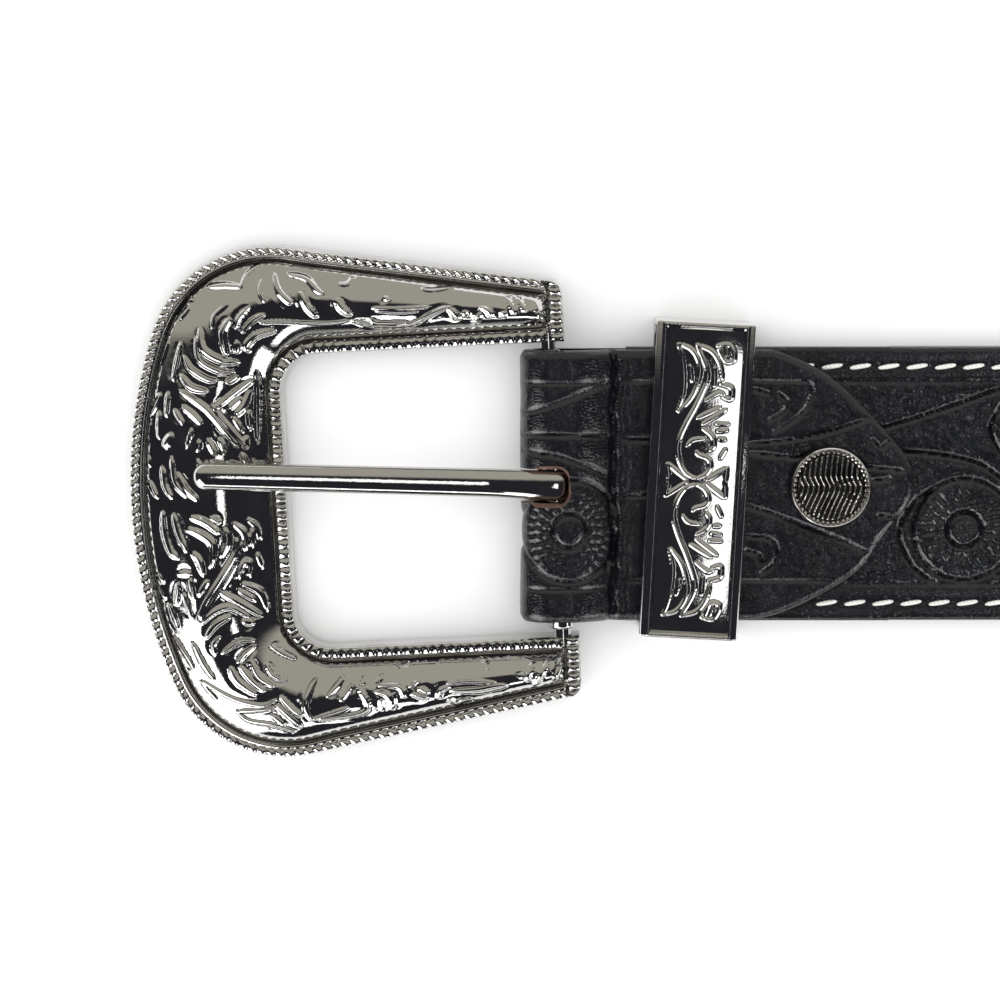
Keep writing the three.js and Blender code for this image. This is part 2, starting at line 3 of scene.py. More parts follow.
import bpy
import numpy as np
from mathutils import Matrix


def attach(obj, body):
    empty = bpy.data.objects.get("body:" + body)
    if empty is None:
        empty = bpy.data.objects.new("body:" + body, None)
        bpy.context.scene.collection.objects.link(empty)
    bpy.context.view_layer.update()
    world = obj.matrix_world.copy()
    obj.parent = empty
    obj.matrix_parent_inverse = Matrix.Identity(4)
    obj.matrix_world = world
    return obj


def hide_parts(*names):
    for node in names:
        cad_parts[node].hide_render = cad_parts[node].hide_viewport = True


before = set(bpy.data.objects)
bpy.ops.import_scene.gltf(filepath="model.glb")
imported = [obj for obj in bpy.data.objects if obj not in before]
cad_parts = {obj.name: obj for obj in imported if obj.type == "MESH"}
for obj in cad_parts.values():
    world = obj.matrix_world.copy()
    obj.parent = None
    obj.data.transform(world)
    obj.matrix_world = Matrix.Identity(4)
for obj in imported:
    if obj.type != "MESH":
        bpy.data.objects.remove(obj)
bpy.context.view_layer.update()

# Table, light and camera.
# The belt lies face up on a white table, among four soft lamps, with a beige wall behind it.
# The camera looks down on the buckle end from a little beyond the strap's upper edge.
mm = 0.001
bar_x = -500.5187  # the buckle's heel bar, along the belt


class Shade:
    """A value in a node tree. A sum written with it adds the Math nodes."""

    def __init__(self, tree, made=None, socket=None):
        self.tree, self.made, self.socket = tree, made, socket

    def node(self, kind, settings=(), sockets=()):
        made = self.tree.nodes.new("ShaderNode" + kind)
        for name, value in dict(settings).items():
            setattr(made, name, value)
        for name, value in dict(sockets).items():
            if isinstance(value, Shade):
                self.tree.links.new(value.socket, made.inputs[name])
            else:
                made.inputs[name].default_value = value
        return Shade(self.tree, made, next((s for s in made.outputs if s.enabled), None))

    def out(self, name):
        return Shade(self.tree, self.made, self.made.outputs[name])

    def maths(self, operation, first, second=0.0):
        return self.node("Math", {"operation": operation}, {0: first, 1: second})

    def __add__(self, other):
        return self.maths("ADD", self, other)

    def __radd__(self, other):
        return self.maths("ADD", other, self)

    def __sub__(self, other):
        return self.maths("SUBTRACT", self, other)

    def __rsub__(self, other):
        return self.maths("SUBTRACT", other, self)

    def __mul__(self, other):
        return self.maths("MULTIPLY", self, other)

    def __rmul__(self, other):
        return self.maths("MULTIPLY", other, self)

    def __truediv__(self, other):
        return self.maths("DIVIDE", self, other)

    def __abs__(self):
        return self.maths("ABSOLUTE", self)

    def between(self, low, high, first=0.0, last=1.0):
        """Rises smoothly from first to last as the value goes from low to high"""
        ends = {"Value": self, "From Min": low, "From Max": high, "To Min": first, "To Max": last}
        return self.node("MapRange", {"interpolation_type": "SMOOTHSTEP"}, ends)

    def blend(self, first, last):
        """One colour turning into another as the value goes from 0 to 1"""
        mixed = self.node("Mix", {"data_type": "RGBA"}, {"Factor": self})
        for place, value in (("A", first), ("B", last)):
            socket = next(s for s in mixed.made.inputs if s.name == place and s.type == "RGBA")
            if isinstance(value, Shade):
                self.tree.links.new(value.socket, socket)
            else:
                socket.default_value = (*value, 1)
        return Shade(self.tree, mixed.made, next(s for s in mixed.made.outputs if s.type == "RGBA"))

    def noise(self, place, scale, detail, roughness=0.5):
        """A random cloud between 0 and 1"""
        sockets = {"Vector": place, "Scale": scale, "Detail": detail, "Roughness": roughness}
        return self.node("TexNoise", (), sockets).out("Fac")

    def surface(self, sockets):
        """Ends a material in a shader with the given sockets"""
        self.node("OutputMaterial", (), {"Surface": self.node("BsdfPrincipled", (), sockets)})


def direction(bearing, down):
    """The way to a place in the room: its bearing from +X and its angle down from overhead, in degrees"""
    turn, lean = math.radians(bearing), math.radians(down)
    return np.array([math.cos(turn) * math.sin(lean), math.sin(turn) * math.sin(lean), math.cos(lean)])


scene = bpy.context.scene
scene.view_settings.view_transform = "Standard"
world = bpy.data.worlds.new("room")
world.use_nodes = True
world.node_tree.nodes.clear()
scene.world = world
room = Shade(world.node_tree)
look = room.node("TexCoord").out("Generated")


def facing(way):
    return room.node("VectorMath", {"operation": "DOT_PRODUCT"}, {0: look, 1: tuple(way)}).out("Value")


def lamp(colour, bearing, down, half_wide, half_high, brightness):
    """A white lamp hung before the given colour, its half width and half height given as slopes"""
    middle = direction(bearing, down)
    aside = direction(bearing + 90, 90)
    ahead = facing(middle)
    wide, high = (
        abs(facing(way) / ahead).between(half * 1.15, half * 0.85)
        for way, half in ((aside, half_wide), (np.cross(middle, aside), half_high))
    )
    return (wide * high * ahead.between(0.0, 0.05)).blend(colour, (brightness,) * 3)


wall = facing((0, 1, 0)).between(0.10, 0.32)
dark_room, beige = (0.022, 0.022, 0.028), (0.5, 0.48, 0.42)
colour = wall.blend(dark_room, beige)
for bearing, down, half_wide, half_high, brightness in (
    (228, 70, 0.42, 0.52, 4.0), (-36, 66, 0.2, 0.25, 4.0),
    (268, 62, 0.6, 0.1, 2.6), (-27, 12, 0.075, 0.065, 2.0),
):
    colour = lamp(colour, bearing, down, half_wide, half_high, brightness)
mirrored = room.node("Background", (), {"Color": colour, "Strength": 1.0})
day_from, day_strength, backdrop = (0, -0.8, 0.6), 1.45, 0.9
glow = facing(day_from).between(-1, 1, 0.55, 1.5)
soft = room.node("Background", (), {"Color": glow.blend((0, 0, 0), (1, 1, 1)), "Strength": day_strength})
plain = room.node("Background", (), {"Color": (backdrop, backdrop, backdrop, 1), "Strength": 1.0})
ray = room.node("LightPath")
unseen = room.node("MixShader", (), {0: ray.out("Is Glossy Ray"), 1: soft, 2: mirrored})
both = room.node("MixShader", (), {0: ray.out("Is Camera Ray"), 1: unseen, 2: plain})
room.node("OutputWorld", (), {"Surface": both})


def added(primitive, **at):
    """A new primitive, with nothing else selected"""
    bpy.ops.object.select_all(action="DESELECT")
    primitive(**at)
    return bpy.context.object


table = added(bpy.ops.mesh.primitive_plane_add, size=8, location=(0, 0, -0.1 * mm))
table.name = "table"
white_card = bpy.data.materials.new("white_card")
white_card.use_nodes = True
card = white_card.node_tree.nodes["Principled BSDF"].inputs
card["Base Color"].default_value, card["Roughness"].default_value = (0.93, 0.93, 0.93, 1), 0.9
table.data.materials.append(white_card)

camera_lean = math.radians(6)
camera_distance = 0.5
seen_width = 138.2 * mm
aim = np.array([(bar_x - 7.6) * mm, -2.2 * mm, 4 * mm])
away = np.array([0, math.sin(camera_lean), math.cos(camera_lean)])
bpy.ops.object.camera_add(location=tuple(aim + away * camera_distance), rotation=(-camera_lean, 0, 0))
camera = bpy.context.object
camera.data.sensor_width = 36
camera.data.lens = 36 * camera_distance / seen_width
camera.data.clip_start = 0.01
scene.camera = camera

# Strap: two plies of black harness leather, stitched, with a flower vine carved and stamped in the face.
# The carving is cut along the lines, pressed down beside them, and the ground is matted with a stamp.
# Its buckle end is skived on the back for the chape, and five holes are punched before the rounded tip.
strap_start, strap_end = 9.7, 1059.8
strap_half, strap_thick, strap_lift = 19.0, 3.0, 1.25
lift_end, lift_run = 55.0, 40.0
skive_end, skive_level = 46.25, 2.7
tip_length, tip_turn = 34.0, 0.9 * math.pi / 2
hole_places = [863.2, 888.6, 914.0, 939.4, 964.8]
stud_x = 37.7
vine_pitch = 57.0


def along_curve(points, steps=6):
    """A smooth run of places through the given ones"""
    knots = np.array([points[0], *points, points[-1]], float)
    t = np.linspace(0, 1, steps, endpoint=False)[:, None]
    parts = [
        b + 0.5 * ((c - a) * t + (2 * a - 5 * b + 4 * c - d) * t ** 2 + (3 * b - a - 3 * c + d) * t ** 3)
        for a, b, c, d in zip(knots, knots[1:], knots[2:], knots[3:])
    ]
    return np.vstack([*parts, knots[-1:]])


def unit(value):
    """Held between 0 and 1"""
    return np.clip(value, 0, 1)


def eased(share):
    """Goes from 0 to 1, slowly at both ends"""
    return share * share * (3 - 2 * share)


def hump(off, width):
    """The height of a rounded ridge at a distance off its middle: 1 on top, and low beyond its width"""
    return np.exp(-((off / width) ** 2))


def beside(x, y, points, reach):
    """The places within reach of a curve: which they are, how far off, on which side, how far along"""
    run = along_curve(points)
    low, high = run.min(0) - reach, run.max(0) + reach
    near = np.flatnonzero((x > low[0]) & (x < high[0]) & (y > low[1]) & (y < high[1]))
    gap, side, share = np.full(len(near), 1e3), np.zeros(len(near)), np.zeros(len(near))
    for k, (a, b) in enumerate(zip(run, run[1:])):
        way = b - a
        px, py = x[near] - a[0], y[near] - a[1]
        t = unit((px * way[0] + py * way[1]) / (way @ way + 1e-9))
        dx, dy = px - t * way[0], py - t * way[1]
        off = np.hypot(dx, dy)
        closer = off < gap
        gap[closer] = off[closer]
        side[closer] = np.sign(way[0] * dy - way[1] * dx)[closer]
        share[closer] = ((k + t) / (len(run) - 1))[closer]
    return near, gap, side, share


def mottle(x, y, size, seed):
    """Smooth random dapples between -1 and 1, of about the given size"""
    lattice = np.random.default_rng(seed).uniform(-1, 1, (64, 64))
    u, v = x / size, y / size
    i, j = np.floor(u).astype(int), np.floor(v).astype(int)
    s, t = eased(u - i), eased(v - j)
    def at(a, b):
        return lattice[(i + a) % 64, (j + b) % 64]
    return (at(0, 0) * (1 - s) + at(1, 0) * s) * (1 - t) + (at(0, 1) * (1 - s) + at(1, 1) * s) * t


def carved(x, y, lines, depth=0.4, width=0.3, press=0.34, spread=1.6):
    """How far leather goes down at carved lines: a cut, and the press beside it on the line's left"""
    down = np.zeros_like(x)
    for points in lines:
        near, gap, side, share = beside(x, y, points, 3 * spread)
        ends = unit(np.minimum(share, 1 - share) * 9) ** 0.5
        cut = depth * hump(gap, width)
        pressed = press * np.exp(-gap / spread) * (side > 0)
        down[near] = np.maximum(down[near], (cut + pressed) * ends)
    return down


def flower(x, y, cx, cy, ring=7.0, boss=2.2):
    """A stamped flower: a domed middle in a ring, beads round it, short petals and a scalloped rim"""
    r, turn = np.hypot(x - cx, y - cy), np.arctan2(y - cy, x - cx)
    rise = 0.45 * np.clip(1 - (r / boss) ** 2, 0, None) ** 0.6
    rise -= 0.5 * hump(r - boss - 0.2, 0.3)
    beads = unit(np.cos(turn * 17)) * hump(r - boss - 1.1, 0.36)
    beads += unit(np.cos(turn * 24 + 1)) * hump(r - boss - 2.2, 0.36)
    petals = (0.5 + 0.5 * np.cos(turn * 30)) * hump(r - ring + 1.5, 0.6)
    rise += 0.34 * beads + 0.2 * petals
    rise -= 0.42 * hump(r - ring, 0.3)
    rise -= 0.24 * np.exp(-np.clip(r - ring, 0, None) / 1.6) * (r > ring)
    return rise * (r < ring + 4)


def places_of(piece):
    """The places of a piece's points"""
    flat = np.zeros(len(piece.data.vertices) * 3)
    piece.data.vertices.foreach_get("co", flat)
    return flat.reshape(-1, 3)


def sheet_of(name, columns, rows, place, sharp=50):
    """A grid added flat, set in place row by row round the piece, closed on itself and capped at both ends"""
    counts = {"x_subdivisions": columns - 1, "y_subdivisions": rows - 1}
    piece = added(bpy.ops.mesh.primitive_grid_add, size=1, **counts)
    piece.name = piece.data.name = name
    flat = places_of(piece)
    column = np.rint((flat[:, 0] + 0.5) * (columns - 1)).astype(int)
    row = np.rint((flat[:, 1] + 0.5) * (rows - 1)).astype(int)
    piece.data.vertices.foreach_set("co", (place(column, row) * mm).ravel())
    piece.data.update()
    bpy.ops.object.mode_set(mode="EDIT")
    bpy.ops.mesh.select_all(action="SELECT")
    bpy.ops.mesh.remove_doubles(threshold=0.002 * mm)
    bpy.ops.mesh.select_all(action="DESELECT")
    bpy.ops.mesh.select_mode(type="EDGE")
    bpy.ops.mesh.select_non_manifold()
    piece.update_from_editmode()
    if piece.data.total_edge_sel:
        bpy.ops.mesh.edge_face_add()
    bpy.ops.mesh.select_all(action="SELECT")
    bpy.ops.mesh.normals_make_consistent(inside=False)
    bpy.ops.object.mode_set(mode="OBJECT")
    bpy.ops.object.shade_smooth_by_angle(angle=math.radians(sharp))
    return piece


def give_depth(piece, depth_at):
    """Keeps how deep each place of a piece lies in its carving, for the material to read"""
    depth = piece.data.attributes.new("depth", "FLOAT", "POINT")
    depth.data.foreach_set("value", depth_at(places_of(piece) / mm).astype(np.float32))


def cut_with(piece, cutter):
    """Cuts a tool's shape out of a piece and takes the tool away"""
    cut = piece.modifiers.new("cut", "BOOLEAN")
    cut.operation, cut.solver, cut.object, cut.material_mode = "DIFFERENCE", "EXACT", cutter, "TRANSFER"
    bpy.ops.object.select_all(action="DESELECT")
    bpy.context.view_layer.objects.active = piece
    piece.select_set(True)
    bpy.ops.object.modifier_apply(modifier="cut")
    bpy.data.objects.remove(cutter)


def new_finish(name):
    """An empty material, the tree of its look, and the place on the piece"""
    made = bpy.data.materials.new(name)
    made.use_nodes = True
    made.node_tree.nodes.clear()
    look = Shade(made.node_tree)
    return made, look, look.node("TexCoord").out("Object")


def leather(name, dark, light, grain_size, dull, scuffed=0.7):
    """Leather with paler high places, fine pores and scuffs, and a low waxed shine"""
    made, look, place = new_finish(name)
    blotch, fibre = look.noise(place, 190, 3), look.noise(place, 2600, 4, 0.65)
    pores = look.node("TexVoronoi", {"feature": "DISTANCE_TO_EDGE"}, {"Vector": place, "Scale": grain_size})
    depth = look.node("Attribute", {"attribute_name": "depth"}).out("Fac")
    crease = pores.out("Distance").between(0.0, 0.22)
    shown = blotch.between(0.3, 0.7) * 0.5 + fibre.between(0.35, 0.65) * 0.5
    colour = (shown * (1 - depth.between(0.1, 0.7) * 0.75)).blend(dark, light)
    rough = dull + fibre * 0.12 - blotch * 0.08 + depth.between(0.1, 0.8) * 0.1
    drawn = look.node("Mapping", (), {"Vector": place, "Scale": (1, 0.55, 1)})
    scuffs = look.noise(drawn, 1700, 2).between(0.57, 0.73) * scuffed
    height = crease * 0.2 + fibre * 0.15 + scuffs
    bump = look.node("Bump", (), {"Strength": 0.7, "Distance": 0.1 * mm, "Height": height})
    look.surface({"Base Color": colour, "Roughness": rough, "Normal": bump, "Specular IOR Level": 0.8})
    return made


blue_black = (0.0015, 0.0015, 0.0022)
black_leather = leather("strap_leather", blue_black, (0.009, 0.0095, 0.013), 2600, 0.13)
folded_leather = leather("chape_leather", blue_black, (0.007, 0.0075, 0.011), 2600, 0.15, 0.3)
raw_leather = leather("raw_leather", (0.02, 0.009, 0.006), (0.24, 0.115, 0.07), 1900, 0.6)


vine_flowers = [(56.6 + vine_pitch * k / 2, -6.3 if k % 2 == 0 else 6.3) for k in range(35)]
vine_lines = [
    [(42, 7.2), (46, 8), (54, 10.5), (61, 13), (66, 14)],
    [(45, 4.6), (52, 4.2), (58, 3), (61, 1.2), (66, -2.5)],
    [(62.5, 12), (60, 8), (62, 3.5), (66, 0.5)],
    [(52.5, -0.5), (49.2, -3), (47.6, -7), (49.5, -11.5), (53, -14)],
]
for fx, fy in vine_flowers:
    way = 1 if fy > 0 else -1
    if fx > 70:
        for stem in (
            [(-22, -9), (-14, -6), (-7, -1.5), (0, -2.2), (7, -5)],
            [(-20, 3), (-13, 8), (-9, 12.5), (-4, 14)],
            [(-19, 13.6), (-15, 9), (-12, 3), (-15, -2)],
            [(-4, -13.8), (1, -9.5), (8, -8.5), (15, -11.5)],
        ):
            vine_lines.append([(fx + x, way * y) for x, y in stem])
border_xs, border_ys, groove_ys = (strap_start, 520, 1020), (14.2, -13.9), (16.25, -16.5)
borders = [[(x, border_ys[0]) for x in border_xs], [(x, border_ys[1]) for x in reversed(border_xs)]]


def strap_face(x, y, line_wide):
    down = carved(x, y, vine_lines, width=line_wide) + carved(x, y, borders, 0.22, line_wide, 0.0)
    for groove_y in groove_ys:
        down += 0.1 * hump(y - groove_y, 0.55)
    inside = unit((14.0 - abs(y)) * 2)
    leafy = hump(y - 5 + 0.1 * (x - 50), 2.6)
    down += 0.085 * inside * (1 - leafy) * (mottle(x, y * 0.6, 0.6, 5) + 0.8 * mottle(x, y * 0.6, 0.36, 6))
    for cx, cy in vine_flowers:
        down -= flower(x, y, cx, cy) * (abs(x - cx) < 14)
    return down


def half_width(x):
    turn = np.arcsin(unit(1 - (strap_end - x) / tip_length) * math.sin(tip_turn))
    return strap_half * np.cos(turn)


def strap_levels(x):
    sink = unit((x - lift_end) / lift_run)
    low = strap_lift * (1 - eased(sink))
    return np.where(x < skive_end, skive_level, low), low + strap_thick


def strap_length(name, xs, face_count, line_wide):
    """One of the strap's three lengths, its mesh as fine along as xs and as fine across as face_count"""
    edge = [(1, 0.22), (1, 0.5), (1, 0.78), (0.992, 0.92), (0.975, 0.985)]
    rows = [*edge, *((s, 1.0) for s in np.linspace(0.958, -0.958, face_count))]
    rows += [(-s, h) for s, h in reversed(edge)]
    rows += [(-0.975, 0.0), *((s, 0.0) for s in np.linspace(-0.9, 0.9, 6)), (0.975, 0.0), rows[0]]
    shares, heights = (np.array(v) for v in zip(*rows))

    def place(column, row):
        x, share, height = xs[column], shares[row], heights[row]
        low, high = strap_levels(x)
        y = half_width(x) * share
        on_face = unit((height - 0.97) / 0.03)
        down = strap_face(x, y, line_wide) * on_face
        return np.stack([x + bar_x, y, low + (high - low) * height - np.clip(down, -0.2, 1.2)], 1)

    return sheet_of(name, len(xs), len(rows), place)


fine_end, middle_end = 112.0, 590.0
fine_xs = np.concatenate([
    np.arange(strap_start, 24, 1.0), np.arange(24, skive_end, 0.24), [skive_end - 0.01, skive_end + 0.01],
    np.arange(skive_end + 0.24, fine_end, 0.235), [fine_end],
])
tip_xs = strap_end - tip_length * (1 - np.sin(np.linspace(0, 1, 60) * tip_turn) / math.sin(tip_turn))
rest_xs = np.concatenate([np.linspace(middle_end, strap_end - tip_length - 0.5, 700), tip_xs])
strap = strap_length("tooled_strap", fine_xs, 160, 0.3)
strap_middle = strap_length("strap_middle", np.linspace(fine_end, middle_end, 770), 84, 0.5)
strap_rest = strap_length("strap_to_tip", rest_xs, 84, 0.5)


def punch_hole(piece, along, radius, level):
    """A round hole, whose wall shows the undyed leather"""
    punch = added(
        bpy.ops.mesh.primitive_cylinder_add, vertices=40, radius=radius * mm, depth=12 * mm,
        location=((along + bar_x) * mm, 0, level * mm),
    )
    punch.data.materials.append(raw_leather)
    cut_with(piece, punch)


for length in (strap, strap_middle, strap_rest):
    length.data.materials.append(black_leather)
stud_hole, belt_hole = 2.8, 2.5
punch_hole(strap, stud_x, stud_hole, 3)
for place in hole_places:
    punch_hole(strap_rest, place, belt_hole, 1.5)


def strap_depth(place):
    x, y = place[:, 0] - bar_x, place[:, 1]
    high = strap_levels(x)[1]
    return np.where(place[:, 2] > high - 1.3, high - place[:, 2], 2.0)


for length in (strap, strap_middle, strap_rest):
    give_depth(length, strap_depth)
    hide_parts("strap")
    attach(length, "strap")


# Buckle frame: one zinc casting, polished and chromed, with its heel bar cast in.
# The face is domed, with a rope edge outside and a beaded edge round the window, and leaves between them.
# The back is hollow. Places are given from the heel bar's middle, along the frame and across it.
frame_reach, frame_tail = 58.9, 2.3
arm_half, arm_taper = 28.8, math.radians(9.86)
corner_radius, end_bulge = 17.2, 3.3
window_reach, window_half, window_corner = 36.8, 20.2, 5.0
rim_height, arm_crown, end_crown = 4.3, 6.2, 7.5
border, groove, tail_round = 1.95, 0.22, 1.6
bar_radius, bar_height, bar_level = 1.75, 3.0, 5.2
frame_shift, frame_yaw = -0.6, math.radians(3)
frame_tilt = math.asin((bar_level - bar_height) / frame_reach)
tooth_pitch, bead_pitch = 1.36, 1.27
back_inset, solid_tail, casting_thick, wall_end = 1.8, 6.8, 2.2, 0.28


def arm_edge(u):
    return arm_half + (u + frame_tail) * math.tan(arm_taper)


corner = np.array([frame_reach - end_bulge - corner_radius, 0.0])
corner[1] = arm_edge(corner[0]) - corner_radius / math.cos(arm_taper)
from_end = frame_reach - corner[0]
end_radius = (from_end ** 2 + corner[1] ** 2 - corner_radius ** 2) / (2 * (from_end - corner_radius))
end_middle = np.array([frame_reach - end_radius, 0.0])
corner_stop = math.atan2(*(corner - end_middle)[::-1])
pivot = np.array([window_reach - window_corner, window_half - window_corner])


def out_to_circle(start, way, middle, radius):
    to_middle = middle - start
    ahead = to_middle @ way
    return start + way * (ahead + math.sqrt(radius ** 2 - to_middle @ to_middle + ahead ** 2))


def outline_from(way):
    """Where a line out of the window's corner meets the frame's edge"""
    place = out_to_circle(pivot, way, corner, corner_radius)
    turn = math.atan2(*(place - corner)[::-1])
    if turn < corner_stop:
        return out_to_circle(pivot, way, end_middle, end_radius)
    if turn < math.pi / 2 + arm_taper:
        return place
    reach = (arm_edge(pivot[0]) - pivot[1]) / (way[1] - way[0] * math.tan(arm_taper))
    return pivot + way * reach


arm_us = np.concatenate([np.linspace(-frame_tail, 1.2, 24), np.linspace(1.45, pivot[0], 116)])
short = np.clip(tail_round - frame_tail - arm_us, 0, tail_round)
outer = list(zip(arm_us, arm_edge(arm_us) - tail_round + np.sqrt(tail_round ** 2 - short ** 2)))
inner = [(u, window_half) for u in arm_us]
for turn in np.linspace(math.pi / 2, 0, 176)[1:]:
    way = np.array([math.cos(turn), math.sin(turn)])
    outer.append(tuple(outline_from(way)))
    inner.append(tuple(pivot + way * window_corner))
for v in np.linspace(pivot[1], 0, 62)[1:]:
    outer.append((end_middle[0] + math.sqrt(end_radius ** 2 - v ** 2), v))
    inner.append((window_reach, v))
outer, inner = np.array(outer), np.array(inner)
outer = np.vstack([outer, outer[-2::-1] * (1, -1)])
inner = np.vstack([inner, inner[-2::-1] * (1, -1)])


def run_along(line):
    return np.concatenate([[0], np.cumsum(np.hypot(*np.diff(line, axis=0).T))])


outer_run, inner_run = run_along(outer), run_along(inner)
groove_insets = border + groove * np.array([0.3, 0.65, 1])
rim_insets = np.concatenate([[0, 0.1, 0.24], np.linspace(0.34, border, 14), groove_insets])
middle_rows, back_rows = 82, 5
face_rows = 2 * len(rim_insets) + middle_rows

# The leaves of the upper corner and the stem between them, each a width and the places it runs through
corner_leaves = [
    (.5, [(-43.2, 28), (-45.2, 26.5), (-45.6, 24.8)]),
    (1, [(-47.3, 24.9), (-47, 22), (-44.2, 20.2), (-42.2, 20)]),
    (.8, [(-47.9, 23.5), (-47.5, 20.5), (-44.5, 18.7), (-43, 18.7)]),
    (.8, [(-49.7, 21), (-48.8, 19.3), (-46.5, 17.8), (-45.4, 17.7)]),
    (.9, [(-50.3, 18.5), (-49, 16.9), (-46.7, 16.2)]),
    (.8, [(-50.5, 16.4), (-47, 13.8), (-44.5, 10.5), (-43, 8.4)]),
    (.6, [(-46.2, 14.2), (-44, 11), (-42.2, 8.6)]), (.7, [(-50.3, 14.3), (-48.8, 13), (-47.8, 11.8)]),
    (1, [(-43, 26), (-44.2, 24), (-43.8, 21)]), (1, [(-42.2, 22.8), (-42.4, 21.2)]),
    (.6, [(-40.3, 27.4), (-41.8, 26), (-42.3, 24.6)]), (.7, [(-38.3, 26.3), (-40, 25.5), (-41.5, 24)]),
    (1, [(-37, 24), (-39.5, 23.5), (-41, 22.2), (-40.8, 21.3)]),
    (.8, [(-40.5, 17.4), (-43, 15.8), (-45.7, 13.9)]), (.8, [(-44, 17.2), (-42.5, 18)]),
    (.6, [(-43.3, 12.3), (-42.3, 10.3)]), (.5, [(-52, 23.2), (-53.4, 20)]),
    (.6, [(-50.1, 23), (-50.9, 20), (-51.5, 17.8)]), (.6, [(-52.3, 16.2), (-52.7, 13)]),
    (.5, [(-53.8, 13.5), (-54, 10)]), (.5, [(-55.2, 12), (-55.7, 9.7)]), (.6, [(-51.5, 13.9), (-50.5, 12)]),
    (1.2, [(-52, 10.5), (-53.3, 8.8)]), (.6, [(-49.2, 11), (-50, 8.7)]), (.5, [(-48.2, 9.5), (-48.5, 8)]),
    (.5, [(-55.8, 12.4), (-54.5, 14), (-53.4, 16)]), (.8, [(-53.7, 6), (-53.5, 3.5), (-52.7, 1.8)]),
    (.8, [(-52.3, 7.3), (-52, 4), (-50.5, 2)]), (.8, [(-51.5, 5), (-50.5, 3), (-49, 1.5)]),
    (.6, [(-55.7, 7.5), (-55.7, 6)]), (.6, [(-55.7, 4), (-54.8, 1.8)]), (.7, [(-47, 9.5), (-46.2, 7.6)]),
    (.7, [(-45.4, 9.6), (-44.8, 7.8)]), (.8, [(-48.6, 6.9), (-47.9, 4.6), (-46.3, 2.9)]),
    (.8, [(-46.8, 6.5), (-45.7, 4.4), (-44, 3.1)]), (.7, [(-44.6, 6.2), (-43.6, 4.5), (-42.2, 3.6)]),
    (.6, [(-42.6, 7.4), (-41.6, 5.3)]), (.8, [(-39.9, 18.6), (-40, 16.2), (-40.2, 12.6), (-40.4, 8.6)]),
    (1, [(-40.9, 15.9), (-41.7, 14.1), (-42.9, 12.8)]), (.7, [(-42.3, 15), (-43.8, 13.7)]),
    (.8, [(-41.4, 13.1), (-41.2, 11.8), (-41.3, 10.5)]), (.9, [(-41.8, 9.6), (-42, 8)]),
]
upper_arm_leaves = [
    (.9, [(-36.7, 31.7), (-36.2, 29.5), (-35, 28), (-34.4, 27.8)]),
    (.6, [(-38.5, 31), (-38.7, 29.5), (-38.2, 28)]),
    (.8, [(-35, 31.6), (-32.5, 30.9), (-31, 29.3), (-30.2, 28.7)]),
    (1, [(-33.3, 29.1), (-32.4, 27), (-31.3, 25.6)]), (1, [(-28.4, 28), (-27.8, 26.7), (-26.6, 25.6)]),
    (.6, [(-21.8, 27.9), (-21.3, 27.3)]), (.4, [(-39, 25.2), (-36, 25.2), (-30, 24.7), (-27, 24.9)]),
    (.8, [(-24, 25), (-23, 24.2), (-19, 24.2)]), (.45, [(-23.5, 26.4), (-20, 26.1), (-16, 26.2)]),
    (.4, [(-23, 26), (-20, 25.7), (-17.5, 25.7)]),
    (.6, [(-26, 24.7), (-23, 23.9), (-18.5, 23.9), (-16, 25), (-14, 25.8), (-13, 26)]),
    (.8, [(-13, 25.8), (-12.4, 25), (-11.7, 24.2)]), (.6, [(-10.8, 25.4), (-11.2, 24.6)]),
    (2, [(-9.6, 24.4), (-9, 24)]), (.7, [(-8.8, 25.8), (-7.8, 25.2), (-7.3, 24.3)]),
    (.7, [(-5.8, 25), (-5.6, 24.2)]), (.6, [(-5.2, 27), (-4.5, 25.5), (-4.2, 24.6)]),
    (.6, [(-3.7, 26.8), (-2.9, 25.3), (-2.7, 24.8)]), (.8, [(-.8, 24.8), (-1, 23.5)]),
    (.5, [(-16.7, 28.6), (-15.2, 28.4), (-12.8, 28.6)]), (.5, [(-26, 30.6), (-26.9, 29.8), (-28, 29.9)]),
    (.8, [(-46, 30.4), (-43.5, 30.5), (-41.4, 30.2)]), (.5, [(-41.4, 30.1), (-40.5, 31.8), (-38.9, 33)]),
    (.5, [(-49.5, 28.8), (-48, 28.7)]), (.5, [(-50.2, 26.2), (-48.7, 27.8)]),
]
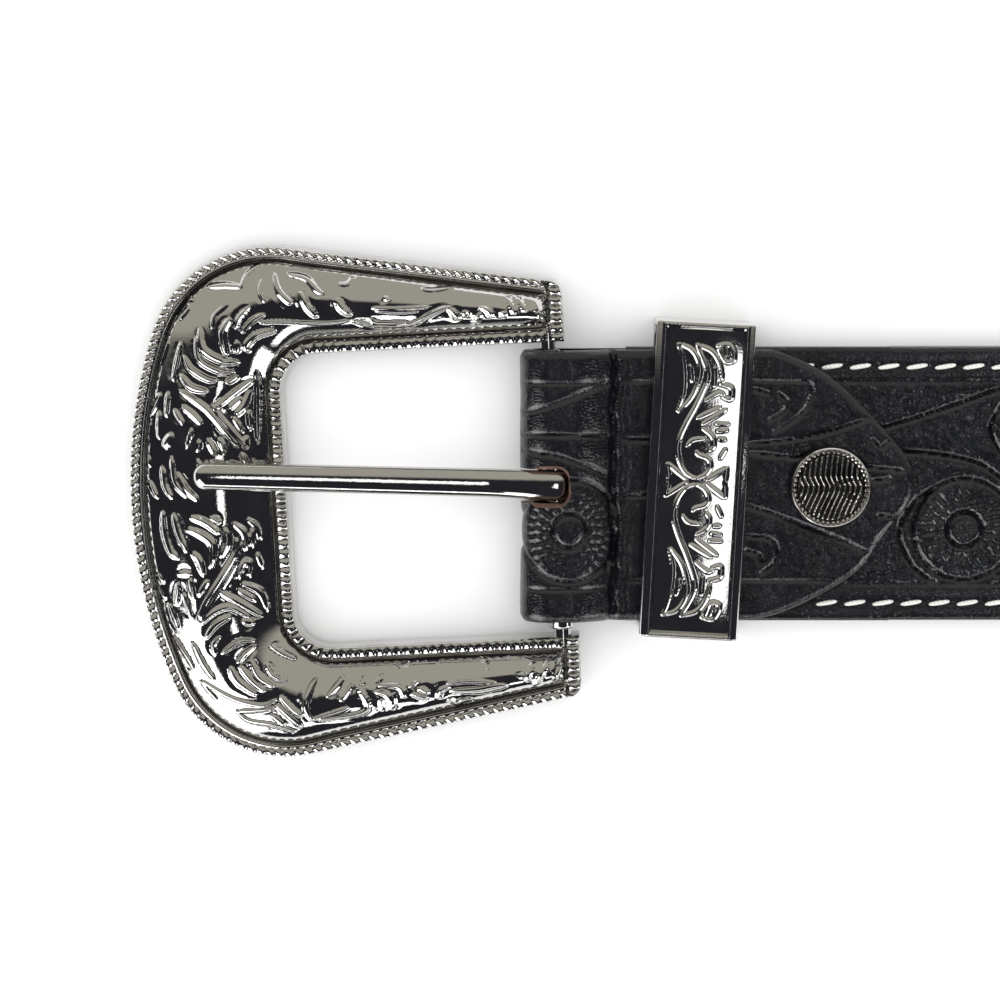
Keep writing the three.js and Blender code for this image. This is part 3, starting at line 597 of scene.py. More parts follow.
lower_corner_leaves = [
    (.7, [(-43.9, -4.3), (-44.3, -6.5), (-46.3, -9.5), (-48.5, -12.5), (-50.2, -15.4)]),
    (.5, [(-43.2, -5), (-43.7, -6.9), (-45.6, -9.9), (-47.8, -12.9), (-49.5, -15.2)]),
    (.9, [(-46.6, -11.5), (-44, -13.2), (-41.2, -15.3)]),
    (.8, [(-49.5, -15.8), (-47.5, -14.2), (-45.2, -13.7), (-42.9, -15.3)]),
    (.9, [(-49, -17.8), (-47.5, -16), (-45.5, -15)]), (.6, [(-47, -17.7), (-48, -18.8), (-47.9, -20.2)]),
    (1.2, [(-43.7, -15.7), (-42.3, -16.1)]), (.7, [(-42.5, -18.6), (-44.5, -18.6), (-46.8, -20)]),
    (.7, [(-42.4, -19.3), (-43.8, -20.3), (-44.7, -21.4)]), (1, [(-45.9, -22), (-45, -24), (-42.5, -26)]),
    (.8, [(-44.5, -22), (-43, -24), (-41.3, -25.6)]), (.8, [(-43, -21.2), (-42, -23.5), (-40, -25)]),
    (.7, [(-41, -21.8), (-40, -23.5), (-38.3, -24.3)]),
    (.7, [(-40.3, -19.4), (-38.8, -20.5), (-36.9, -21.6)]),
    (.9, [(-51, -18.5), (-49.8, -21.5), (-48.3, -23.8)]),
    (.5, [(-50.3, -24), (-49.2, -25.5), (-48.2, -26.7)]),
    (.6, [(-50, -24), (-46, -26.5), (-42, -27.6), (-39.8, -26.9)]),
    (.6, [(-45.6, -28.2), (-44, -29.8), (-40.5, -30.5), (-37.5, -31.6)]),
    (.6, [(-45.2, -28.4), (-43, -28.3), (-40, -28)]), (.7, [(-40.8, -28.9), (-38.9, -30.6)]),
    (.8, [(-39.8, -27.6), (-38, -29.5), (-36.6, -31)]),
    (.7, [(-39.2, -26.4), (-37.5, -28.5), (-36.3, -29.3)]),
    (1, [(-54, -.2), (-54, -3), (-53.2, -5.8), (-52.3, -6.3)]), (.9, [(-52.5, -.5), (-52, -3), (-51, -5.5)]),
    (.9, [(-50, -1), (-48, -1.8), (-46.3, -3.4)]),
    (1, [(-50.5, -2.6), (-48.5, -3.6), (-47.3, -5), (-47.7, -8)]),
    (.9, [(-50, -6), (-49.3, -7), (-48.8, -9)]), (.8, [(-45.4, -2.8), (-45.2, -4.5), (-46.2, -6.7)]),
    (.9, [(-44.2, -9.8), (-43.2, -7.8), (-42.4, -7.9), (-42.6, -9.6)]), (.9, [(-41.5, -3), (-42, -5.5)]),
    (.7, [(-44, -11.5), (-42, -13)]), (1, [(-43.5, -10.6), (-41.2, -12), (-40.4, -14.5)]),
    (.5, [(-55.4, -8.8), (-54.7, -10)]), (.5, [(-55.6, -10.8), (-54.6, -12.3)]),
    (.8, [(-52.4, -10), (-53, -13)]), (.6, [(-51.8, -11.5), (-51, -14.8)]),
    (.6, [(-50.7, -9.5), (-50.3, -12.4)]), (.7, [(-48.2, -9.8), (-49.6, -11.8)]),
    (.6, [(-52.3, -8.8), (-50.5, -8.7)]), (.6, [(-54, -13), (-53, -16.5)]),
    (.6, [(-53.7, -17.7), (-51.8, -21), (-51.2, -22.3)]),
    (.8, [(-44.2, -2.2), (-42.9, -3.6), (-42.8, -5.8)]), (.7, [(-42.3, -1.8), (-41.2, -2.9), (-40.7, -4.6)]),
    (.7, [(-41.3, -6.6), (-40.7, -8.6)]), (.6, [(-47.3, -1.2), (-45.9, -1.9)]),
]
lower_arm_leaves = [
    (.9, [(-34.2, -24.3), (-35, -25.5), (-35.8, -28), (-35.2, -30)]),
    (.8, [(-30.4, -24.2), (-31.5, -25.5), (-32.8, -26.8)]),
    (.6, [(-29.2, -25.2), (-30.2, -26.5), (-30.9, -27.5)]), (.6, [(-27.5, -24.3), (-28, -25.5)]),
    (.5, [(-25, -24.2), (-25.8, -25.2)]), (.6, [(-35, -29.9), (-31.5, -29), (-30, -28.5)]),
    (.7, [(-34, -30), (-29, -29.6), (-27.3, -28.8), (-27.4, -27.6), (-28.6, -25.5)]),
    (.7, [(-25.6, -25.6), (-22.8, -25.9), (-22.1, -27.5)]), (.6, [(-26, -26.5), (-24.5, -27), (-24, -29.2)]),
    (.7, [(-23.7, -26.8), (-23.7, -29.2)]), (.6, [(-25.3, -27.5), (-25.3, -29.3)]),
    (.6, [(-21.3, -26), (-20.2, -25.3)]), (.7, [(-20, -26.2), (-18.8, -27)]),
    (.6, [(-21, -27), (-19, -27.8)]), (.6, [(-17.5, -27.8), (-17, -26.7), (-15.8, -26.2)]),
    (.5, [(-16, -25.8), (-13, -25.6), (-9.5, -26)]),
    (1.1, [(-15.5, -26.8), (-12, -27), (-10, -26.7), (-8, -26.5)]),
    (.6, [(-16, -28), (-15, -28.8), (-14.2, -28.4), (-13, -28.3)]), (.7, [(-5.8, -25.6), (-5.5, -24.8)]),
    (.7, [(-4.2, -23.5), (-5.2, -26)]), (.7, [(-2, -23.3), (-3, -25), (-4, -26.7)]),
    (.9, [(-.2, -24.2), (-1.2, -26.3)]), (.5, [(-11.2, -22.4), (-10.4, -24)]),
    (.5, [(-8, -22.3), (-6, -22.7)]), (.45, [(-23, -23.4), (-20.5, -22.9), (-17.5, -23)]),
    (.45, [(-37, -20.5), (-33, -22), (-29, -22.4)]), (.6, [(-36.5, -19.5), (-34.6, -21), (-32.8, -21.6)]),
]


def raised(x, y, leaves, height):
    """Leaves standing up from a casting: round in section and pointed at both ends"""
    up = np.zeros_like(x)
    for width, points in leaves:
        near, gap, side, share = beside(x, y, points, width)
        half = width / 2 * np.maximum(np.sin(math.pi * share), 0.0) ** 0.4 + 0.08
        rise = height * min(1, width / 0.7) * np.clip(1 - (gap / half) ** 2, 0, None) ** 0.8
        up[near] = np.maximum(up[near], rise)
    return up


def round_top(distance, half):
    return np.sqrt(unit(1 - (distance / half) ** 2))


def tooth(turn):
    return unit(1 - abs(2 * (turn - np.floor(turn)) - 1) ** 2.2) ** 0.6


def rope_rise(inset, run):
    """The outer border: slanting strands at the edge, then a plain band"""
    rise = 0.62 * tooth((run + 0.7 * inset) / tooth_pitch) * round_top(inset - 0.74, 0.68) - 0.25
    rise = np.where(inset > 1.44, 0.2 * round_top(inset - 1.69, 0.27) - 0.06, rise)
    return np.where(inset > border, -0.35, rise)


def bead_rise(inset, run):
    """The border round the window and at the arms' ends: long beads side by side"""
    rise = 0.6 * tooth(run / bead_pitch) * round_top(inset - 0.98, 0.93) - 0.25
    return np.where(inset > border, -0.35, rise)


def place_frame(column, row):
    out, hole = outer[column], inner[column]
    width = np.hypot(*(out - hole).T)
    on_face = row < face_rows
    rims = len(rim_insets)
    middle = (row - rims + 1) / (middle_rows + 1)
    dome_width = width - 2 * (border + groove)
    inset = border + groove + dome_width * unit(middle)
    inset = np.where(row < rims, rim_insets[np.clip(row, 0, rims - 1)], inset)
    far = rim_insets[np.clip(face_rows - 1 - row, 0, rims - 1)]
    inset = np.where(on_face & (row >= rims + middle_rows), width - far, inset)
    back = (row - face_rows + 1) / (back_rows + 1)
    inset = np.where(on_face, inset, width - back_inset - (width - 2 * back_inset) * unit(back))
    inset = np.where(row == face_rows + back_rows + 1, 0, inset)

    share = unit((width - 8.6) / (frame_reach - window_reach - 8.6))
    crown = arm_crown + (end_crown - arm_crown) * share
    across = unit((inset - border - groove) / dome_width)
    lift = np.sin(math.pi * across) ** 0.72
    from_tail = np.interp(column, np.arange(len(outer)), outer[:, 0]) + frame_tail
    on_arm = unit((from_tail - border - groove) / 1.7) ** 0.6
    base = rim_height - 0.5
    from_edge = np.minimum(inset, width - inset)
    wall = np.interp(from_edge, [0, 0.1, 0.24], [0, 3.1, 3.8])
    outside = inset < width / 2
    run = np.where(outside, outer_run[column], inner_run[column])
    rim = rim_height + np.where(outside, rope_rise(from_edge, run), bead_rise(from_edge, run))
    height = np.where(from_edge < border + groove - 0.01, rim, base + (crown - base) * lift * on_arm)
    height = np.where(from_edge < wall_end, wall, height)
    cross = out[:, 1] * (1 - inset / width) + hole[:, 1] * inset / width
    tail_rim = rim_height + bead_rise(np.clip(from_tail, 0.0, border + groove), abs(cross))
    on_tail = (from_tail < border + groove) & (from_edge >= wall_end)
    height = np.where(on_tail, np.maximum(tail_rim, base), height)
    height = np.where(on_tail & (from_tail < 0.14), rim_height - 0.4, height)
    along = out[:, 0] * (1 - inset / width) + hole[:, 0] * inset / width

    mask = unit((from_edge - border - groove - 0.1) / 0.4) * unit((from_tail - 2.1) / 0.5)
    leaves = [*corner_leaves, *upper_arm_leaves, *lower_corner_leaves, *lower_arm_leaves]
    up = raised(-along, cross, leaves, 0.38)
    ground = raised(-along, cross, [(w + 1.6, p) for w, p in leaves if w > 0.55], 1.0)
    dapple = mottle(-along, cross, 0.5, 11) + 0.7 * mottle(-along, cross, 0.3, 12)
    height = height + mask * (up + ground * (1 - unit(up * 4)) * (0.015 * dapple - 0.08))
    vault = np.where(from_tail < solid_tail, 0.0, np.sin(math.pi * unit(back)) ** 0.6)
    vault *= crown - casting_thick
    height = np.where(on_face, height, vault)
    return np.stack([-along, cross, height - bar_height], 1)


frame_row_count = face_rows + back_rows + 2
cast_frame = sheet_of("cast_frame", len(outer), frame_row_count, place_frame, sharp=75)


def close_up(place):
    """How deep a place of the frame's face lies below its leaves and ridges; walls and back count as clean"""
    height = place[:, 2] + bar_height
    return np.where(height > 3.6, unit(4.6 - height), 0.25)


def rod_across(radius, length):
    size = {"radius": radius * mm, "depth": length * mm}
    return added(bpy.ops.mesh.primitive_cylinder_add, vertices=32, rotation=(math.pi / 2, 0, 0), **size)


def round_edges(piece, width):
    """Rounds the sharp edges of a piece"""
    rounding = piece.modifiers.new("rounding", "BEVEL")
    rounding.width, rounding.segments, rounding.limit_method = width * mm, 3, "ANGLE"
    bpy.context.view_layer.objects.active = piece
    bpy.ops.object.modifier_apply(modifier="rounding")


def join_to(piece, *others):
    """Makes one piece of several"""
    bpy.ops.object.select_all(action="DESELECT")
    for one in (piece, *others):
        one.select_set(True)
    bpy.context.view_layer.objects.active = piece
    bpy.ops.object.join()


def set_down(piece, place, turned):
    """Sets a piece in its place, given in mm, and keeps the place in its mesh"""
    piece.location, piece.rotation_euler = [v * mm for v in place], turned
    bpy.ops.object.transform_apply(location=True, rotation=True, scale=True)


give_depth(cast_frame, close_up)
bar_half, bar_end_radius, into_arm = 19.3, 1.2, 1.5
bar = rod_across(bar_radius, 2 * bar_half)
round_edges(bar, 0.4)
bar_end = rod_across(bar_end_radius, 2 * (window_half + into_arm))
bar.select_set(True)
bpy.ops.object.shade_smooth_by_angle(angle=math.radians(50))
join_to(cast_frame, bar, bar_end)
set_down(cast_frame, (bar_x, frame_shift, bar_level), (0, -frame_tilt, frame_yaw))


def plated(name, bright, dirt, polish, evenly=0.0):
    """Chrome on a casting: a near mirror, a little duller and browner where polish can't reach"""
    made, look, place = new_finish(name)
    cloud, grit = look.noise(place, 260, 3), look.noise(place, 3400, 2)
    depth = look.node("Attribute", {"attribute_name": "depth"}).out("Fac")
    soil = depth.between(0.05, 0.9) * cloud.between(0.2, 0.7, evenly, 1.0)
    colour = soil.blend(bright, dirt)
    rough = polish + soil * 0.1 + cloud.between(0.45, 0.8) * 0.04
    height = grit * 0.6 + cloud * 0.8
    bump = look.node("Bump", (), {"Strength": 0.35, "Distance": 0.03 * mm, "Height": height})
    look.surface({"Base Color": colour, "Roughness": rough, "Normal": bump, "Metallic": 1.0})
    return made


def finish_with(piece, finish):
    piece.data.materials.clear()
    piece.data.materials.append(finish)


chrome = plated("buckle_chrome", (0.6, 0.595, 0.58), (0.3, 0.28, 0.25), 0.05)
finish_with(cast_frame, chrome)
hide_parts("buckle_frame")
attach(cast_frame, "buckle")

# Chape: the leather folded round the heel bar, with a pointed flap in front of the strap.
# Its back leg is skived and lies in the strap's back. A slot is punched through the fold for the tongue,
# and shows the undyed leather. Its edge is pared and burnished, and its face carved like the strap's.
chape_half = 18.7
fold_x, fold_outer, fold_inner = -0.9, 3.95, 2.15
fold_top, flap_top, flap_low, leg_top = bar_level + fold_outer, 6.3, 4.5, 2.45
bulge_x, crease_x, flap_tip, leg_end = 1.7, 7.9, 49.4, 46.0
flap_outline = [
    (24.7, -19.07), (30.6, -17.86), (36.6, -15.15), (42, -11.6), (45.2, -6.9), (48.4, -3),
    (49.4, 0.56), (48.2, 4.1), (43.7, 9.35), (37.5, 15.15), (30.6, 18.42), (24.7, 19.26),
]
flap_cut = along_curve(flap_outline, 12)


def flap_end(y):
    return np.interp(y, flap_cut[:, 1], flap_cut[:, 0])


def bezier(a, b, c, d, steps):
    t = np.linspace(0, 1, steps)[:, None]
    a, b, c, d = (np.array(p, float) for p in (a, b, c, d))
    return a * (1 - t) ** 3 + 3 * b * t * (1 - t) ** 2 + 3 * c * t * t * (1 - t) + d * t ** 3


def arc(radius, first, last, steps):
    turn = np.radians(np.linspace(first, last, steps))
    return np.stack([fold_x + radius * np.cos(turn), bar_level + radius * np.sin(turn)], 1)


outside_run = np.vstack([
    np.linspace((leg_end, strap_lift), (fold_x + 1, strap_lift), 40), arc(fold_outer, -90, -270, 52),
    np.linspace((fold_x, fold_top), (bulge_x, fold_top), 12)[1:],
    bezier((bulge_x, fold_top), (4.45, fold_top), (6.3, 7.15), (crease_x, flap_top), 28)[1:],
    np.linspace((crease_x, flap_top), (flap_tip, flap_top), 178)[1:],
])
inside_run = np.vstack([
    np.linspace((flap_tip, flap_low), (8.8, flap_low), 12),
    bezier((8.8, flap_low), (6, 5.2), (3.7, 7.35), (bulge_x, 7.35), 8)[1:],
    arc(fold_inner, 90, 270, 16), [(2.6, 3.05), (crease_x, leg_top)],
    np.linspace((12, leg_top), (leg_end, leg_top), 10),
])
section_run = np.vstack([outside_run, inside_run, outside_run[:1]])
outside_count = len(outside_run)
slope = np.gradient(outside_run, axis=0)
slope /= np.hypot(*slope.T)[:, None] + 1e-9
inside_part = np.zeros((len(section_run) - outside_count, 2))
outward = np.vstack([np.stack([-slope[:, 1], slope[:, 0]], 1), inside_part])

chape_lines = [
    [(-4.6, 10), (0, 11.5), (5, 13.3), (7.4, 14)], [(-4.7, 7), (0, 7.2), (6, 6.9), (7.6, 6.8)],
    [(-4.7, 4.8), (0, 4.3), (4, 3), (7.4, 1.3)], [(7, -1), (8.5, -4), (8, -9), (7, -12)],
    [(9, 6.4), (14, 6.3), (20, 6.0), (26, 5.7)], [(26, 5.7), (30, 6), (37, 7.2), (43.3, 9.3)],
    [(26, 4.6), (35, 3.6), (43, 2.5), (48.3, 2)], [(48, -4.7), (46.5, -4.4), (44.2, -3.9)],
    [(43.5, -9.2), (36, -6.1), (28, -3.2), (22, -1.8), (14, -1.2), (9, -1.5)],
    [(30.4, 12.9), (31.7, 11.5), (31, 10), (29, 9)],
    [(34.9, 14.3), (35.1, 12.5), (33.5, 9.8), (29.5, 7.2)], [(25, 12.4), (27, 13.2), (29.5, 12.6)],
    [(26, -7), (29.6, -7.4), (30.5, -9), (30, -10.8), (28, -12.4)], [(26, -9), (28, -9.6), (28.4, -11)],
    [(44.8, 4.9), (46, 6.2)], [(43.5, 0.6), (46.2, 0.9)], [(43.4, 6.5), (44.6, 5.2)],
]
chape_borders = [[(-4.8, 14.3), (0, 14.3), (7.4, 14.3)], [(-4.8, -14.1), (0, -14.1), (7.4, -14.1)],
                 [(9, 14.4), (22, 14.5), (35.2, 14.4)], [(9, -13.2), (25, -13.1), (38.6, -13.2)]]


def chape_face(x, y):
    down = carved(x, y, chape_lines, 0.3, 0.3, 0.22, 1.3) + carved(x, y, chape_borders, 0.22, 0.24, 0.0)
    seam = 8.0 + 0.12 * np.sin(y * 0.5) + 0.2 * mottle(x * 0, y, 1.3, 25)
    down += 0.5 * hump(x - seam, 0.36) - 0.16 * hump(x - seam - 1.2, 0.7)
    down -= flower(x, y, 1.96, -6.0) * (x < 7.6) * 0.8
    matted = unit((x - 27) / 4) * unit((13.5 - abs(y)) / 2)
    leafy = hump(y + 0.4 - (x - 48) * 0.12, 3.4)
    leafy += hump(y - 8.0 + (x - 34) * 0.1, 1.5)
    down += 0.05 * matted * (1 - unit(leafy)) * (mottle(x, y, 0.7, 21) + 0.6 * mottle(x, y, 0.4, 22))
    down += 0.05 * mottle(x, y, 3.1, 23) + 0.02 * mottle(x, y, 0.9, 24)
    return down


def place_chape(column, row):
    y = chape_half * (1 - 2 * column / (chape_columns - 1))
    x, z = section_run[row, 0].copy(), section_run[row, 1].copy()
    end = flap_end(y)
    on_flap = (x > 24.7) & (z > flap_low - 0.1)
    x[on_flap] = (24.7 + (x - 24.7) / (flap_tip - 24.7) * (end - 24.7))[on_flap]
    outside = (row < outside_count) | (row == len(section_run) - 1)
    down = np.zeros_like(x)
    shown = outside & (z > 2)
    down[shown] = chape_face(x[shown], y[shown])
    steep = np.gradient(flap_cut[:, 0], flap_cut[:, 1])
    to_end = (end - x) / np.sqrt(1 + np.interp(y, flap_cut[:, 1], steep) ** 2)
    edge = np.minimum(np.where(on_flap, np.maximum(to_end, 0), 9), chape_half - abs(y))
    down += np.where(outside, 0.6 * unit(1 - edge / 1.2) ** 2, 0)
    away = outward[np.where(row < len(outward), row, 0)]
    return np.stack([x + bar_x - away[:, 0] * down, y, z - away[:, 1] * down], 1)


def block(middle, size):
    """A block of the given middle and size in mm, with its place in its mesh"""
    scale = [v * mm for v in size]
    made = added(bpy.ops.mesh.primitive_cube_add, size=1, location=[v * mm for v in middle], scale=scale)
    bpy.ops.object.transform_apply(location=True, rotation=True, scale=True)
    return made


chape_columns = 168
chape = sheet_of("folded_chape", chape_columns, len(section_run), place_chape)
slot_half, slot_reach, slot_shown, slot_corner, tongue_y = 2.4, 3.5, 1.75, 1.7, 0.1
room_top, flare_from = 8.5, 8.3
chape.data.materials.append(folded_leather)
for reach, low, high in ((slot_reach, -2.0, room_top), (slot_shown, 6.0, flare_from)):
    slot_punch = block((bar_x + reach - 5, tongue_y, (low + high) / 2), (10, 2 * slot_half, high - low))
    bpy.ops.object.mode_set(mode="EDIT")
    bpy.ops.mesh.select_all(action="DESELECT")
    bpy.ops.object.mode_set(mode="OBJECT")
    for e in slot_punch.data.edges:
        a, b = (slot_punch.data.vertices[k].co for k in e.vertices)
        e.select = abs(a.z - b.z) > 1 * mm and a.x > (bar_x + reach - 1) * mm
    bpy.ops.object.mode_set(mode="EDIT")
    bpy.ops.mesh.select_mode(type="EDGE")
    bpy.ops.mesh.bevel(offset=slot_corner * mm, segments=8)
    bpy.ops.mesh.select_all(action="DESELECT")
    bpy.ops.object.mode_set(mode="OBJECT")
    if high == flare_from:
        for f in slot_punch.data.polygons:
            f.select = f.normal.z > 0.9
        bpy.ops.object.mode_set(mode="EDIT")
        bpy.ops.mesh.select_mode(type="FACE")
        bpy.ops.mesh.extrude_region_move(TRANSFORM_OT_translate={"value": (0.15 * mm, 0, 1.1 * mm)})
        bpy.ops.transform.resize(value=(1.06, 1.26, 1))
        bpy.ops.object.mode_set(mode="OBJECT")
    bpy.ops.object.mode_set(mode="EDIT")
    bpy.ops.mesh.select_all(action="SELECT")
    bpy.ops.mesh.normals_make_consistent(inside=False)
    bpy.ops.object.mode_set(mode="OBJECT")
    slot_punch.data.materials.append(raw_leather)
    cut_with(chape, slot_punch)
punch_hole(chape, stud_x, stud_hole, 3)


def chape_depth(place):
    return np.where((place[:, 0] - bar_x > 9) & (place[:, 2] > 5), flap_top - place[:, 2], 0.1)


give_depth(chape, chape_depth)
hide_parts("buckle_chape")
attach(chape, "strap")

# Tongue: a steel rod, bent and chromed. It lies on the frame's end with its rounded tip.
# Its other end rises, is flattened, and is rolled into an eye round the heel bar.
tongue_reach, tongue_wide, tongue_tip_wide = 49.7, 4.1, 3.7
tongue_deep, eye_outer, eye_inner = 2.9, 3.1, 2.1
tongue_rest, tongue_contact = 7.7 - 3 + 0.5 + 0.25 + tongue_deep / 2, 46.5
tongue_rise = math.atan2(tongue_rest, tongue_contact) - frame_tilt
tip_steps = np.sin(np.linspace(0, math.pi / 2, 9))
tongue_along = [np.linspace(0, 0.34, 34), np.linspace(0.37, 0.965, 16), 0.965 + 0.035 * tip_steps[1:]]
tongue_along = np.concatenate(tongue_along)
tongue_round = np.concatenate([np.ones(50), np.sqrt(1 - tip_steps[1:] ** 2 * 0.93)])


def rounded(value):
    return np.sign(value) * abs(value) ** 0.85


def place_tongue(column, row):
    """The rod rises and flattens towards the heel bar, and passes over it"""
    along, shrink = tongue_along[column], tongue_round[column]
    turn = 2 * math.pi * row / 40
    climb = eased(unit(1 - along / 0.2))
    wide = tongue_wide + (tongue_tip_wide - tongue_wide) * along
    upper = tongue_deep / 2 + (eye_outer - eye_inner - tongue_deep / 2) * climb
    lower = tongue_deep / 2 * (1 - climb) + 0.05
    tall = np.where(np.sin(turn) > 0, upper, lower)
    z = eye_inner * climb + rounded(np.sin(turn)) * tall * shrink
    return np.stack([-tongue_reach * along, rounded(np.cos(turn)) * wide / 2 * shrink, z], 1)


tongue = sheet_of("tongue_rod", len(tongue_along), 41, place_tongue)


def place_eye(column, row):
    """The rod's end rolled round the bar: rounded outside, flat against the bar"""
    round_bar, round_ring = 2 * math.pi * column / 56, 2 * math.pi * row / 28
    reach = eye_inner + (eye_outer - eye_inner) * rounded(unit(np.sin(round_ring)))
    y = rounded(np.cos(round_ring)) * tongue_wide / 2
    return np.stack([reach * np.cos(round_bar), y, reach * np.sin(round_bar)], 1)


eye = sheet_of("eye", 57, 29, place_eye)
join_to(tongue, eye)
bpy.ops.object.shade_smooth_by_angle(angle=math.radians(40))
set_down(tongue, (bar_x, tongue_y, bar_level), (0, tongue_rise, math.radians(-2)))
finish_with(tongue, chrome)
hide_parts("tongue")
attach(tongue, "tongue")

# Keeper: a cast and chromed loop round the strap and the flap, free to slide along them.
# Its face is a raised plate with a beaded edge, and thin scroll lines stand up from the sunk panel.
keeper_x, keeper_y, keeper_yaw = 19.35, 1.0, math.radians(-3.1)
keeper_wide, keeper_long = 13.5, 43.4
keeper_back, keeper_roof, keeper_shoulder, keeper_face = 1.0, 9.3, 10.0, 10.8
plate_half, plate_long = 6.0, 21.7
rail, panel_depth, edge_pitch = 0.75, 0.3, 0.55
scrolls = [
    (.5, [(.3, 15.5), (.5, 14), (-.8, 10.5), (-2.2, 7.5), (-3, 5), (-2.7, 2.8), (-1.6, 1), (-.2, .4)]),
    (.5, [(-.2, .4), (1, 1), (1.6, 2.2), (1.2, 3.2), (-.2, 3.7), (-.4, 4.2)]),
    (.5, [(-3.8, 18.6), (-2, 18), (-.9, 16.5), (-.6, 14.5), (-1.5, 11.5), (-3.2, 9.3)]),
    (.45, [(-3.8, 18.5), (-3.3, 17.5), (-2.8, 15), (-2.7, 12), (-3.4, 9.4)]),
    (.4, [(-2, 15.8), (-1.6, 13.5)]), (.5, [(-1.3, 18.6), (.8, 17.9), (2, 16.3), (2.6, 14)]),
    (.45, [(-1.2, 18.5), (-.3, 16.8), (.4, 15), (.3, 13)]), (.4, [(1.4, 15.7), (1.5, 13)]),
    (.5, [(1.5, 18.6), (3.2, 18.8), (4, 17), (2.8, 16.6), (1.6, 18.4)]), (.35, [(2, 18.5), (2.6, 16.9)]),
    (.35, [(2.6, 18.6), (3.2, 16.9)]), (.35, [(3.2, 18.6), (3.6, 17.1)]),
    (.45, [(.3, 11), (2, 12.2), (2.9, 12)]), (.5, [(-.6, 8.6), (2.5, 10.3)]), (.45, [(.1, 7.8), (3.3, 10)]),
    (.5, [(.2, 7.3), (1.6, 6.3), (1.9, 5), (1.4, 4.3)]), (.45, [(-1.8, 4.7), (-1, 5.6), (.6, 5.9)]),
    (.5, [(2.2, 13.5), (3.8, 13), (3.8, 11.5), (2.6, 11.8)]), (.4, [(2, 8), (3.8, 8)]),
    (.4, [(2.2, 7), (3.7, 7.2)]), (.4, [(2.5, 6), (3.5, 5.9)]), (.4, [(2.8, 3.2), (3.6, 4.7)]),
    (.5, [(-4.3, 2.3), (-1.5, .2)]), (.5, [(-4.3, 2.3), (-3.9, 0)]), (.5, [(1.2, .2), (3.9, 2.1)]),
    (.5, [(3.9, 2.1), (3.7, 0)]),
]
scrolls += [(w, [(x, -y) for x, y in points]) for w, points in scrolls]
plate_xs = np.concatenate([
    [-plate_half, -plate_half, -plate_half], np.linspace(-plate_half + 0.12, plate_half - 0.12, 92),
    [plate_half, plate_half, plate_half], np.linspace(plate_half - 1, -plate_half + 1, 4), [-plate_half],
])
plate_zs = np.concatenate([[9.8, 10.3, 10.62], np.full(92, 20.0), [10.62, 10.3, 9.8], np.full(4, 9.8), [9.8]])
plate_ys = np.linspace(-plate_long + 0.1, plate_long - 0.1, 300)
plate_ys = np.concatenate([[-plate_long], plate_ys, [plate_long]])


def place_plate(column, row):
    x, y, z = plate_xs[row], plate_ys[column], plate_zs[row].copy()
    top = z > 15
    edge = np.minimum(plate_half - abs(x), plate_long - abs(y))
    sunk = unit((edge - rail) / 0.12)
    bow = 0.55 * (x / plate_half) ** 2 + 0.4 * unit((abs(y) - 16.5) / 5.2) ** 2
    face = keeper_face - unit(1 - edge / 0.15) * 0.16 - bow * sunk * 0.55
    face = face - panel_depth * sunk + raised(x, y, scrolls, 0.28) * sunk
    along_edge = np.where(plate_half - abs(x) < plate_long - abs(y), y, x)
    beads = 0.84 + 0.16 * np.cos(2 * math.pi * along_edge / edge_pitch)
    rib = 0.13 * hump(edge - 0.4, 0.2) * beads
    return np.stack([x, y, np.where(top, face + rib - 0.12, z)], 1)


keeper = sheet_of("keeper_loop", len(plate_ys), len(plate_xs), place_plate)
loop = block((0, 0, keeper_shoulder / 2), (keeper_wide, keeper_long, keeper_shoulder))
room_tall = keeper_roof - keeper_back
cut_with(loop, block((0, 0, keeper_back + room_tall / 2), (20, keeper_long - 2, room_tall)))
round_edges(loop, 0.28)
join_to(keeper, loop)
bpy.ops.object.shade_smooth_by_angle(angle=math.radians(45))
set_down(keeper, (bar_x + keeper_x, keeper_y, 0), (0, 0, keeper_yaw))
finish_with(keeper, chrome)
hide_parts("keeper")
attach(keeper, "keeper")

# Stud: a screwed rivet through flap, strap and back leg. Its front is a plated disc with waved ridges and a
# notched rim, on a hollow post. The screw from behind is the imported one, plated alike.
stud_radius, stud_low, stud_tall = 5.55, flap_top + 0.12, 2.5
ridged, post_radius, face_rings, spokes, notches = 4.55, 2.4, 44, 240, 44
rim_radii = [4.62, 4.7, 4.85, 5.0, 5.12, 5.3, 5.45, stud_radius]
under_radii = [stud_radius, 5.1, post_radius, post_radius, 0]
disc_radii = np.concatenate([np.linspace(0, ridged, face_rings), rim_radii, under_radii])
wave_ys, wave_xs = [-5, -3, -0.6, 0.2, 0.9, 1.6, 3, 5], [-1.7, -1.0, 0.1, 0.25, -0.15, -0.4, -0.25, 0]
ridge_pitch = 0.72


def place_disc(column, row):
    turn = 2 * math.pi * column / spokes
    r = disc_radii[row]
    x, y = r * np.cos(turn), r * np.sin(turn)
    wave = x - np.interp(y, wave_ys, wave_xs)
    ridges = 0.3 * hump((wave / ridge_pitch) % 1 - 0.5, 0.2)
    top = stud_low + stud_tall - 0.12
    floor = top - 0.38 + ridges * unit((ridged - r) / 0.15)
    notch = 0.2 * (np.cos(turn * notches) > 0.2)
    levels = np.array([-0.3, -0.05, 0.05, 0.05, -0.1, 0.12, 0.0, -0.6])
    z = floor.copy()
    rim = row >= face_rings
    k = np.clip(row - face_rings, 0, len(rim_radii) - 1)
    z[rim] = (top - 0.14 + levels[k] - notch * (k > 0) * (k < 4))[rim]
    low = np.array([stud_low + 0.4, stud_low, stud_low, strap_lift, strap_lift])
    under = row >= face_rings + len(rim_radii)
    z[under] = low[np.clip(row - face_rings - len(rim_radii), 0, 4)][under]
    return np.stack([x + stud_x + bar_x, y, z], 1)


